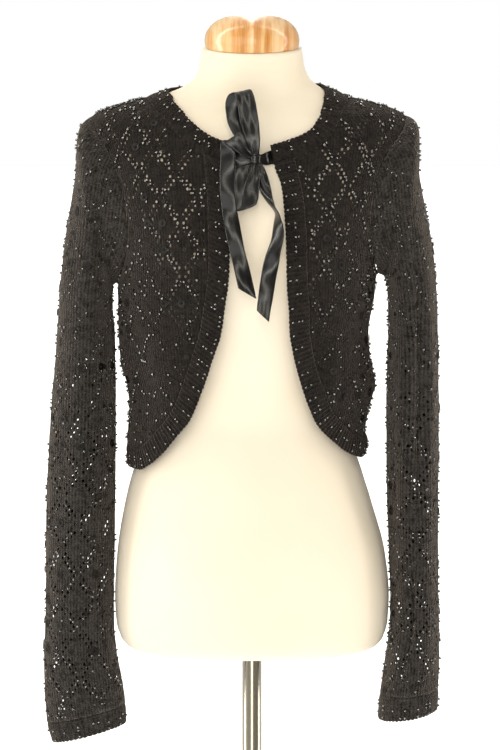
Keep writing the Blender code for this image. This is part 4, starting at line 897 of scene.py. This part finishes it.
seam_lines, sleeve_seams = {}, {}
for side in ("right", "left"):
    outer_side = OUTER[side]
    turns = np.linspace(0, 2 * math.pi, ROUND, endpoint=False)
    half = ROUND // 2 + 1
    loop = np.concatenate([armhole_line(side, "front", half)[:-1], armhole_line(side, "back", half)[:0:-1]])
    rim, rim_out = on_cloth(loop), outward(cloth_surface, loop[:, 0], loop[:, 1])
    top = rim.copy()
    top[:, 0] += outer_side * (SEAM_GAP + np.abs(rim_out[:, 0]) * CLOTH_THICKNESS + ARMHOLE_ROOM)
    table = np.array(SLEEVE_SECTIONS[side], float)
    dense = through_rows(np.arange(len(table)), table, np.linspace(0, len(table) - 1, 12 * len(table)))
    rings = section_ring(dense, side, turns)
    blend = np.linspace(0, 1, 8, endpoint=False)[:, None, None]
    rings = np.concatenate([top * (1 - blend) + rings[0] * blend, rings])
    for _ in range(30):
        rings[1:-1] = (rings[:-2] + 2 * rings[1:-1] + rings[2:]) / 4
    normals = tube_normals(rings, outer_side)
    degrees, heights = turns / DEG, rings[..., 2] / MM
    for top_turn, low_turn, high, low, depth, width in SLEEVE_CREASES[side]:
        place = top_turn + (low_turn - top_turn) * np.clip((high - heights) / (high - low), 0, 1)
        dent = depth * np.exp(-(((degrees - place) / width) ** 2)) * hill(heights, low, high)
        rings = rings - normals * dent[..., None] * MM
    normals = tube_normals(rings, outer_side)
    # The head is drawn in to the armhole's own edge
    seam = rim + rim_out * BODY_LIFT * MM
    seam[:, 0] += outer_side * 0.5 * MM
    run = np.cumsum(np.linalg.norm(np.diff(rings, axis=0, prepend=rings[:1]), axis=-1), axis=0)
    shift = (seam - rings[0] - normals[0] * SLEEVE_LIFT * MM) * np.exp(-run / (14 * MM))[..., None]
    rings = rings + shift
    seam_lines[side] = seam
    # From the cuff up, with the seam's column at both ends
    around = np.arange(ROUND + 1) % ROUND
    points, out = rings[::-1][:, around], tube_normals(rings, outer_side)[::-1][:, around]
    sleeve_seams[side] = points[::3, 0] + out[::3, 0] * SLEEVE_LIFT * MM
    place, stitches = level_rounds(points, out, outer_side)
    outline = np.concatenate([stitches(-1), stitches(0)[::-1]])
    low, high = int(np.floor(outline[:, 1].min())) - 1, int(np.ceil(outline[:, 1].max())) + 1
    columns = (0, 2 * HALF_ROUND + 1)
    # The sleeves take the copy of the knit painted paler for the light through their stitches
    made = knitted(
        f"lace_sleeve_{side}", outline, columns, (low, high), place, f"sleeve_{side}", SLEEVE_LIFT,
        SLEEVE_OPENING, painted_light_knit, flip=side == "right")
    lace[f"sleeve_{side}"] = panel_of(
        made, place, outline, (columns[0], low), (columns[1], high), SLEEVE_LIFT)

# Ribbed bands, picked up along the raw edges and cast off loosely: round the neck, down the fronts and
# round their corners, along the back hem, and at the wrists. Round ribs 5 mm apart run across them.
RIB, RIB_SAMPLES = 5.0 * MM, 6
RIB_SWAY = 0.04  # how far a rib runs past the free edge, as a share of the band's width
ACROSS = np.array([0, 0.03, 0.08, 0.16, 0.3, 0.45, 0.6, 0.75, 0.9, 1.0])


def rib_wave(numbers):
    """Broad round ribs with narrow grooves, |cos| to the power 0.6, each a little higher or lower."""
    uneven = 1 + 0.12 * np.sin(1.7 * np.floor(numbers + 0.5)) + 0.08 * np.sin(0.61 * numbers)
    return np.abs(np.cos(math.pi * numbers)) ** 0.6 * uneven


def walled(name, near, far, flat, finish, slot, wrap=False, flip=False):
    """A closed wall between two nets of points; flat is each point's place on the pattern, in mm."""
    rows, columns = near.shape[:2]
    count = rows * columns
    index = np.arange(count).reshape(rows, columns)
    sides = []
    for line in [index[0], index[-1][::-1]] + ([] if wrap else [index[::-1, 0], index[:, -1]]):
        here, after = (line, np.roll(line, -1)) if wrap else (line[:-1], line[1:])
        sides.append(np.stack([here, after, after + count, here + count], axis=1))
    inside, outside = grid_faces(rows, columns, wrap), grid_faces(rows, columns, wrap, count)
    faces = [inside[:, ::-1], outside, np.concatenate(sides)]
    uv = [flat.reshape(-1, 2)[group % count] for group in faces]
    if wrap:  # the faces that close the ring take the place after the last one
        closing = flat[0, -1, 0] + flat[0, 1, 0] - flat[0, 0, 0]
        for group in uv:
            turned_back = np.ptp(group[..., 0], axis=1) > 7
            group[turned_back, :, 0] += (group[turned_back, :, 0] < 7) * closing
    if flip:
        faces, uv = [group[:, ::-1] for group in faces], [group[:, ::-1] for group in uv]
    return piece(name, np.concatenate([near.reshape(-1, 3), far.reshape(-1, 3)]), faces, finish, slot, uv)


def rib_wall(wave):
    """The band's thickness: rounded off over its first tenth, and drawn in over its last quarter."""
    rounding = np.sqrt(1 - (1 - np.clip(ACROSS / 0.1, 0, 1)) ** 2)
    drawn_in = 1 - 0.85 * np.clip((ACROSS - 0.75) / 0.25, 0, 1) ** 2
    ridge = wave * np.clip(ACROSS / 0.06, 0.35, 1)[:, None]
    return (0.5 + (rounding * drawn_in)[:, None] + drawn_in[:, None] * 0.75 * RIB_RISE / MM * ridge) * MM


def ribs_on(name, base, out, numbers, finish, replaced, wrap=False, flip=False):
    """Ribs on a net of points, whose pattern has a 3.5 mm stitch to a rib; gives its outer side too."""
    outer = base + out * rib_wall(rib_wave(numbers))[..., None]
    flat = np.stack(np.broadcast_arrays(numbers * 3.5, ACROSS[:, None] * BAND_WIDTH / MM), -1)
    made = walled(name, base + out * 0.2 * MM, outer, flat, finish, "rib", wrap, flip)
    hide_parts(replaced)
    return made, outer, out


def ribbed_band(name, edge, span, sewn, sewn_span, replaced, flip):
    """A band between two curves of angle and height; the points across are straight between them."""
    length = lengths_of(on_cloth(at_places(edge, np.linspace(*span, 300))))[-1]
    ribs = round(length / RIB)
    numbers = np.linspace(0, ribs, ribs * RIB_SAMPLES + 1)
    free = at_places(edge, np.linspace(*span, len(numbers)))
    inside = at_places(sewn, np.linspace(*sewn_span, len(numbers)))
    free = free + (free - inside) * (RIB_SWAY * (rib_wave(numbers) - 0.5))[:, None]
    across = ACROSS[:, None, None]
    chart = free * (1 - across) + inside * across
    base = cloth_surface(chart[..., 0], chart[..., 1])
    out = outward(cloth_surface, chart[..., 0], chart[..., 1])
    return ribs_on(name, base, out, numbers, rib, replaced, flip=flip)


# The same wool worked in rib
rib = knit.copy()
rib.name = "ribbed_black_wool"
bands = {}
DEEP = BAND_WIDTH + 0.4 * MM
deep = {side: front_seam(side, DEEP) for side in ("right", "left")}
deep_neck = neck_seam(DEEP)
for side in ("right", "left"):
    edge = front_edge[side].copy()
    edge[0, 0] = deep[side][0, 0] = side_angle(side, "front", 0)
    ends = (crossing(edge, deep_neck), crossing(deep[side], deep_neck))
    bands[f"front_{side}"] = ribbed_band(
        f"rib_front_{side}", edge, (0, ends[0]), deep[side], (0, ends[1]), f"band_front_{side}",
        side == "right")
    lace[f"front_{side}"]["with"].append(bands[f"front_{side}"][0])
deep_hem = inset(hem_edge, DEEP, -1)
deep_hem[0, 0], deep_hem[-1, 0] = 0, math.pi
span = (0, len(hem_edge) - 1)
bands["hem"] = ribbed_band("rib_hem", hem_edge, span, deep_hem, span, "band_hem", False)
ends = [crossing(deep_neck, front_edge[side]) for side in ("left", "right")]
bands["neck"] = ribbed_band(
    "rib_neck", neck_edge, (0, len(neck_edge) - 1), deep_neck, ends, "band_neck", True)
lace["back"]["with"] += [bands["hem"][0], bands["neck"][0]]

for side in ("right", "left"):
    last = SLEEVE_SECTIONS[side][-1]
    girth = 2 * math.pi * math.sqrt(((math.dist(last[:2], last[2:4]) / 2) ** 2 + last[4] ** 2) / 2) * MM
    ribs = round(girth / RIB)
    numbers = np.linspace(0, ribs, ribs * RIB_SAMPLES, endpoint=False)
    turns = numbers / ribs * 2 * math.pi
    top, bottom = section_ring(last, side, turns), section_ring(CUFF_BOTTOM[side], side, turns)
    across = ACROSS[:, None, None]
    tube = bottom * (1 - across) + top * across
    out = -tube_normals(tube, OUTER[side])
    tube = tube + (bottom - top) * (RIB_SWAY * (rib_wave(numbers) - 0.5))[:, None] * (1 - across)
    # The cuffs take the sleeves' copy of the knit, painted paler for the light through the stitches
    bands[f"cuff_{side}"] = ribs_on(
        f"rib_cuff_{side}", tube, out, numbers, painted_light_knit, f"cuff_{side}", wrap=True, flip=side == "right")
    lace[f"sleeve_{side}"]["with"].append(bands[f"cuff_{side}"][0])

# Seams: the pieces are joined with a row of mattress stitch, which leaves a soft ridge of yarn at the
# armholes, the sides and the shoulders.


def ridge_of_yarn(name, path, radius, closed=False):
    """A thin tube round a path: rings of eight points square to it."""
    along = np.roll(path, -1, 0) - np.roll(path, 1, 0) if closed else np.gradient(path, axis=0)
    along = unit_of(along)
    side = unit_of(np.cross(along, (1.0, 0.0, 0.0) if closed else (0.0, 1.0, 0.0)))
    other = np.cross(side, along)
    turn = np.linspace(0, 2 * math.pi, 8, endpoint=False)[:, None]
    swell = (radius * (1 + 0.18 * np.sin(np.arange(len(path)) * 2.1)))[:, None, None]
    rings = path[:, None] + swell * (np.cos(turn) * other[:, None] + np.sin(turn) * side[:, None])
    faces = tube_faces(len(path), 8)
    if closed:
        faces = [grid_faces(len(path) + 1, 8, wrap=True) % rings[..., 0].size]
    uv = [np.broadcast_to(np.array([0.8, 0.0]), (*group.shape, 2)) for group in faces]
    return piece(name, rings.reshape(-1, 3), faces, knit, "knit", uv)


for side in ("right", "left"):
    # Drawn together with a few extra stitches at the armpit
    reach = np.linalg.norm(seam_lines[side] - seam_lines[side][0], axis=1) / MM
    swell = (0.5 + 1.9 * np.exp(-((reach / 7) ** 2))) * MM
    lace[f"sleeve_{side}"]["with"] += [
        ridge_of_yarn(f"seam_armhole_{side}", seam_lines[side], swell, True),
        ridge_of_yarn(f"seam_sleeve_{side}", sleeve_seams[side], 0.7 * MM)]
    for name, low, high in (("side", HEM_HEIGHT[side] + BAND_WIDTH, ARMPIT_HEIGHT[side]),
                            ("shoulder", SHOULDER_HEIGHT, NECK_AT_SHOULDER[side] - 9 * MM)):
        line = ridge_line(side, low, high, 70)
        path = on_cloth(line) + outward(cloth_surface, line[:, 0], line[:, 1]) * BODY_LIFT * MM
        lace["back"]["with"].append(ridge_of_yarn(f"seam_{name}_{side}", path, 0.9 * MM))

# Beads and sequins: black glass seed beads sewn along the ridges between the eyelets and in pairs down
# the bands, and flat black sequins sewn in the middle of the diamonds and at their tips.


def ring_of(count, radius, height):
    """Points evenly round a level ring."""
    turn = np.arange(count) * (360 / count) * DEG
    return np.column_stack([np.cos(turn) * radius, np.sin(turn) * radius, np.full(count, height)])


# A bead is two hexagons between two tips; a sequin is a dished ring
BEAD = np.array([1.25, 1.25, 1.45]) * MM
BEAD_SHAPE = np.concatenate([[[0, 0, -0.9]], ring_of(6, 1, -0.42), ring_of(6, 1, 0.42), [[0, 0, 0.9]]]) * BEAD
around, next_one = np.arange(6), (np.arange(6) + 1) % 6
BEAD_FACES = [
    np.concatenate([np.stack([np.zeros(6, int), 1 + next_one, 1 + around], 1),
                    np.stack([np.full(6, 13), 7 + around, 7 + next_one], 1)]),
    np.stack([1 + around, 1 + next_one, 7 + next_one, 7 + around], 1)]
SEQUIN_ROWS = [(1.35, 0.0), (1.35, 0.25), (3.2, 0.42), (4.5, 0.75), (4.5, 0.5), (3.0, 0.15)]
SEQUIN_SHAPE = np.concatenate([ring_of(12, *row) for row in SEQUIN_ROWS]) * MM
SEQUIN_FACES = [(grid_faces(7, 12, wrap=True) % 72)[:, ::-1]]


def sewn_on(name, spots, normals, shape, shape_faces, finish, slot, tilt, seed, smooth=False, sizes=1.0):
    """Copies of a small shape, each turned to its normal, at a random turn and a slight random tilt."""
    rng = np.random.default_rng(seed)
    up = unit_of(normals + tilt * rng.standard_normal(normals.shape))
    side = unit_of(np.cross(up, (0.31, 0.2, 0.93)))
    other = np.cross(up, side)
    turn = rng.uniform(0, 2 * math.pi, len(up))[:, None]
    first, second = np.cos(turn) * side + np.sin(turn) * other, np.cos(turn) * other - np.sin(turn) * side
    starts = (np.arange(len(spots)) * len(shape))[:, None, None]
    shape = shape[None] * np.reshape(sizes, (-1, 1, 1))
    points = (
        spots[:, None] + shape[..., :1] * first[:, None] + shape[..., 1:2] * second[:, None]
        + shape[..., 2:] * up[:, None])
    faces = [(group[None] + starts).reshape(-1, group.shape[1]) for group in shape_faces]
    return piece(name, points.reshape(-1, 3), faces, finish, slot, smooth=smooth)


def well_within(a, b, outline, over, up):
    """True where the outline is at least this many stitches and rounds away, each way."""
    steps = ((over, 0), (-over, 0), (0, up), (0, -up))
    return np.all([within(a + step_a, b + step_b, outline) for step_a, step_b in steps], axis=0)


# Cut black glass with a metallic lustre coat: each small facet that meets the light gives a white spark
jet, tree, shader = new_finish("cut_black_glass_beads", "0b0a0a", Roughness=0.05, IOR=3.3, Coat_Weight=0.3)
dress(tree, shader, Roughness=rescaled(tree, noise(tree, 300.0, 1.0), 0.35, 0.65, 0.05, 0.15))
# Punched polyester film, black with a grey sheen that changes a little from one to the next
film, tree, shader = new_finish("black_sequin_film", "171411", Roughness=0.5, Specular_IOR_Level=0.3)
odd_ones = noise(tree, 60.0, 0.0)
dress(tree, shader, Base_Color=ramp(tree, odd_ones, (0.4, "100e0c"), (0.6, "1e1a17")),
      Roughness=rescaled(tree, odd_ones, 0.3, 0.7, 0.6, 0.42))

for number, (name, panel) in enumerate(lace.items()):
    outline, (low_a, low_b), (high_a, high_b) = panel["outline"], panel["low"], panel["high"]
    a, b = (grid.ravel() for grid in np.meshgrid(np.arange(low_a, high_a), np.arange(low_b, high_b)))
    clear = well_within(a, b, outline, 0.9, 0.8)
    slant, other = slants(a, b)
    tips = (slant == -6) & (other == -6)
    # About half of the places along the ridges carry a bead, in looser and denser patches, more on the
    # fronts, and a few lie off them
    rng = np.random.default_rng(5 + number)
    patches = np.sin(a * 0.37 + 1.3 * np.sin(b * 0.21)) * np.sin(b * 0.29 + number)
    crowd, largest = (0.54, 1.4) if "front" in name else (0.42, 1.15)
    ridge = ((slant == -6) | (other == -6)) & ~tips & clear & (rng.random(len(a)) < crowd + 0.3 * patches)
    ridge |= clear & ~eyelet(a, b) & (rng.random(len(a)) < 0.02)
    shift = rng.uniform(-0.35, 0.35, (2, ridge.sum()))
    sizes = rng.uniform(0.8, largest, ridge.sum())
    spot, normal = panel["place"](a[ridge] + shift[0], b[ridge] + shift[1])
    lift = (panel["lift"] + 0.45 + 0.4 + 0.8) * MM
    beads = sewn_on(
        f"beads_{name}", spot + normal * lift, normal, BEAD_SHAPE, BEAD_FACES, jet, "knit", 0.25, 11 + number,
        sizes=sizes)
    middle = (slant == 0) & (other == 0)
    every_other = tips & (a % 12 == np.where(b % 12 == 6, 0, 6))
    roomy = clear & well_within(a, b, outline, 1.5, 1.1)
    disc = roomy & (middle | every_other) & (rng.random(len(a)) < 0.24)
    # Between them, smaller ones 4.6 mm across are scattered over the plain knit
    little = clear & ~eyelet(a, b) & ~disc & ~ridge & (rng.random(len(a)) < 0.04)
    sizes = np.where(disc, 1.0, 0.51)[disc | little]
    spot, normal = panel["place"](a[disc | little].astype(float), b[disc | little].astype(float))
    lift = (panel["lift"] + 0.45 + 0.5) * MM
    sequins = sewn_on(
        f"sequins_{name}", spot + normal * lift, normal, SEQUIN_SHAPE, SEQUIN_FACES, film, "knit", 0.07,
        31 + number, smooth=True, sizes=sizes)
    panel["with"] += [beads, sequins]

spots, normals = [], []
for name, (made, outer, out) in bands.items():
    # Rows of two or three across the band, 15 mm apart, and now and then a single one between
    rng = np.random.default_rng(len(name))
    for row in (3, 5, 6):
        chosen = np.arange(RIB_SAMPLES, outer.shape[1] - 2, RIB_SAMPLES)
        often = np.where(np.arange(len(chosen)) % 3 == 0, 0.35 if row == 6 else 0.8, 0.06)
        chosen = chosen[rng.random(len(chosen)) < often]
        spots.append(outer[row, chosen] + out[row, chosen] * 0.9 * MM)
        normals.append(out[row, chosen])
lace["back"]["with"].append(sewn_on(
    "beads_bands", np.concatenate(spots), np.concatenate(normals), BEAD_SHAPE, BEAD_FACES, jet, "rib", 0.15,
    7))

for name, panel in lace.items():
    flat, area = cut_of(panel["outline"])
    rests = ["form_body"] if "sleeve" not in name else ["lace_back"]
    "hung" if "sleeve" in name else "draped"

# The ribbon: double-faced black polyester satin 16.5 mm wide, sewn on at each front's top corner and
# tied in a bow whose free ends hang straight down. Flat lengths of it follow these middle lines.
RIBBON_WIDTH = 16.5 * MM
KNOT_PLACE, KNOT_SIZE = np.array([3.5, -99.5, 1355]) * MM, np.array([15, 13, 18]) * MM
# Across, depth and height in mm, turn of the width from level, lean to the front, share of the width
RIBBON_PATHS = {
    "tie_right": [(-20, -93, 1360.5, 88, -16, 1.25), (-12, -95, 1356, 88, -8, 1.3),
                  (1, -96, 1354.5, 86, 0, 0.65)],
    "tie_left": [(15, -94.5, 1356.5, 86, -8, 0.85), (10, -96, 1356, 84, -4, 0.65),
                 (4, -97.5, 1355.5, 84, 0, 0.45)],
    "loop_upper": [
        (4, -103.5, 1357, 0, 0, 0.4), (2.6, -105, 1366, 0, 0, 0.65), (0.2, -104.3, 1379, 0, 0, 1),
        (-3.2, -99, 1398, 2, 0, 1.2), (-6.4, -91.5, 1417.5, 6, 0, 1.18), (-11, -83, 1428.5, 11, 0, 1.1),
        (-17, -76.8, 1426.5, 13, 0, 1.02), (-20.6, -76.5, 1416, 10, 0, 1), (-18.6, -82.5, 1398, 5, 0, 1),
        (-11, -91, 1380, 6, 0, 0.9), (-0.8, -97.5, 1366.5, 4, 0, 0.55), (3, -99, 1357, 0, 0, 0.4)],
    "loop_lower": [
        (3.5, -103, 1353, 0, 0, 0.4), (2.4, -107, 1343.5, 4, 0, 0.65), (-0.4, -115, 1328.5, 8, 0, 1),
        (-2.2, -123.5, 1312, 14, 0, 1.08), (-4.6, -126.5, 1305, 18, 0, 1.08),
        (-8.4, -123, 1303.5, 18, 0, 1.05),
        (-11.4, -117.5, 1313.7, 10, 0, 1.02), (-12, -108.5, 1329.5, 2, 0, 1.08),
        (-11.6, -102, 1346, 0, 0, 1.08),
        (1.5, -98.8, 1352, 0, 0, 0.45)],
    "tail_right": [
        (2, -101.5, 1358, 60, 0, 0.4), (-4, -104, 1363, 62, 0, 0.7), (-11, -106, 1370, 62, 0, 1.05),
        (-17, -106.4, 1376, 58, 0, 1.18), (-23, -105.4, 1378.5, 34, 0, 1.12),
        (-25.2, -103.6, 1373.5, 14, 0, 1.04),
        (-25.5, -103.6, 1365, 4, 0, 1), (-25.8, -106, 1354, 2, 0, 1), (-26, -111.5, 1341, 1, 0, 1),
        (-25.8, -118, 1325, -1, 0, 1), (-24.5, -124.5, 1308, -6, 0, 1.02), (-21, -129.5, 1288, -10, 0, 1.04),
        (-17, -132.5, 1266, -10, 0, 1.06), (-11, -132.5, 1242, -8, 0, 1.06), (-5, -130, 1215, -6, 0, 1.06)],
    "tail_left": [
        (6.4, -101, 1354, -46, 0, 0.4), (10, -103.4, 1348.5, -42, 0, 0.6), (12, -107.5, 1338.5, -34, 6, 0.82),
        (14.3, -113.5, 1322, -20, 34, 1), (20, -119.5, 1309, -8, 54, 1), (26.8, -125.5, 1297, 0, 66, 1),
        (27.6, -129.5, 1280, 4, 48, 1), (21.5, -131.5, 1254, 8, 12, 1.06), (17, -132.5, 1230, 8, 0, 1.02),
        (14.3, -131.8, 1212, 6, 0, 0.98), (12.4, -130.5, 1200, 6, 0, 0.92), (11.4, -129.5, 1191, 6, 0, 0.88)],
}
# Height and place across where each tie is sewn on, and how far off the cloth's inside it lies there
TIE_STARTS = {
    "tie_right": ([(-32, 1365), (-27, 1366)], 4.3 * MM), "tie_left": ([(27, 1357), (21, 1357)], -0.8 * MM)}
TAIL_SLANT = {"tail_right": 5 * MM, "tail_left": 7.5 * MM}
for name, (starts, off) in TIE_STARTS.items():
    rows = []
    for across, height in starts:
        angle, level = np.array([angle_at(across * MM, height * MM, name[4:])]), np.array([height * MM])
        point = (cloth_surface(angle, level) + outward(cloth_surface, angle, level) * off)[0] / MM
        slope = slopes_of(cloth_surface, angle, level)[1][0]
        lean = -math.asin(slope[1] / np.linalg.norm(slope)) / DEG
        rows.append((*point, math.atan2(slope[2], slope[0]) / DEG, lean, 1.0))
    RIBBON_PATHS[name] = rows + RIBBON_PATHS[name]

# Polyester satin: smooth floats of filament give long soft highlights across the ribbon, over fine
# weft lines 0.5 mm apart
satin, tree, shader = new_finish(
    "black_polyester_satin", "0a0909", Roughness=0.23, Sheen_Weight=0.03, Sheen_Roughness=0.3,
    Anisotropic=0.3, IOR=1.5, Specular_IOR_Level=0.5)
weft = calc(tree, "SINE", calc(tree, "MULTIPLY", cloth_place(tree)[1], 2 * math.pi / 0.5))
waver = noise(tree, 160.0, 2.0)
height = calc(tree, "MULTIPLY_ADD", waver, 2.5, weft)
dress(tree, shader, Normal=bump(tree, height, 0.04, 0.2 * MM),
      Base_Color=ramp(tree, waver, (0.35, "0a0909"), (0.65, "121111")))

ribbon = {}
for name, path in RIBBON_PATHS.items():
    rows = np.array(path, float)
    rows[:, :3] *= MM
    run = lengths_of(rows[:, :3])
    count = int(run[-1] / (1.1 * MM))
    rows = through_rows(run, rows, np.linspace(0, run[-1], count))
    middle, turn, lean, share = rows[:, :3], rows[:, 3] * DEG, rows[:, 4] * DEG, rows[:, 5]
    for _ in range(4):
        middle[1:-1] = (middle[:-2] + 2 * middle[1:-1] + middle[2:]) / 4
    # The free ends ripple a little, which breaks their gleam into lighter and darker patches
    reach = np.linspace(0, run[-1], count) / MM
    ripple = ("tail" in name) * np.clip(reach / 40 - 0.4, 0, 1)
    middle[:, 1] += 1.1 * MM * ripple * np.sin(reach / 5.5)
    lean = lean + DEG * ripple * (3 + 9 * np.sin(reach / 8.1 + 1))
    lean = lean + 7 * DEG * ("loop" in name) * np.sin(reach / 6.5)
    along = unit_of(np.gradient(middle, axis=0))
    wide = np.stack([np.cos(turn) * np.cos(lean), -np.sin(lean), np.sin(turn) * np.cos(lean)], axis=1)
    thick = unit_of(np.cross(along, wide))
    # Points across; where the ribbon is drawn together it stands in lengthwise pleats
    across = np.linspace(-1, 1, 13)
    pleat = 1.1 * MM * (1 - share)[:, None] * np.cos(across * 7)[None] + 0.5 * MM * (1 - across**2)[None]
    grid = (
        middle[:, None] + wide[:, None] * (across[None] * RIBBON_WIDTH / 2 * share[:, None])[..., None]
        + thick[:, None] * pleat[..., None])
    fade = np.clip(np.linspace(0, 1, count) * 4 - 3, 0, 1)
    grid = grid + along[-1] * (TAIL_SLANT.get(name, 0.0) * fade[:, None] * across[None])[..., None]
    side = (0.35 * MM * np.sqrt(1.02 - across**2))[None, :, None] * thick[:, None]
    flat = np.stack(np.broadcast_arrays(across * RIBBON_WIDTH / 2 / MM, reach[:, None]), -1)
    made = walled(f"bow_{name}", grid + side, grid - side, flat, satin, "satin")
    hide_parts(f"ribbon_{name}")
    ribbon[name] = (made, float(run[-1]))

# The knot: the ribbon's one turn round the bow, pulled tight, so it stands in pleats that run across
polar = np.linspace(0.06, math.pi - 0.06, 40)[:, None]
turn = np.linspace(0, 2 * math.pi, 56, endpoint=False)[None]
unit = np.stack(np.broadcast_arrays(
    np.sin(polar) * np.cos(turn), np.sin(polar) * np.sin(turn), -np.cos(polar)), -1)
full = np.sign(unit) * np.abs(unit) ** 0.78
creases = 1 + 0.07 * np.sin(polar * 11 + 0.8 * np.sin(turn)) * np.sin(polar) ** 2
creases = creases + 0.04 * np.sin(3 * turn + 1)
points = KNOT_PLACE + full * creases[..., None] * KNOT_SIZE * (0.42, 0.5, 0.43)
flat = np.stack(np.broadcast_arrays(turn * 2.5, polar * 6), -1).reshape(-1, 2)
faces = tube_faces(polar.size, turn.size)
knot = piece("bow_knot", points.reshape(-1, 3), faces, satin, "satin", [flat[group] for group in faces])
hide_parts("ribbon_knot")
for name, (made, length) in ribbon.items():
    "hung" if "tail" in name else "folded"
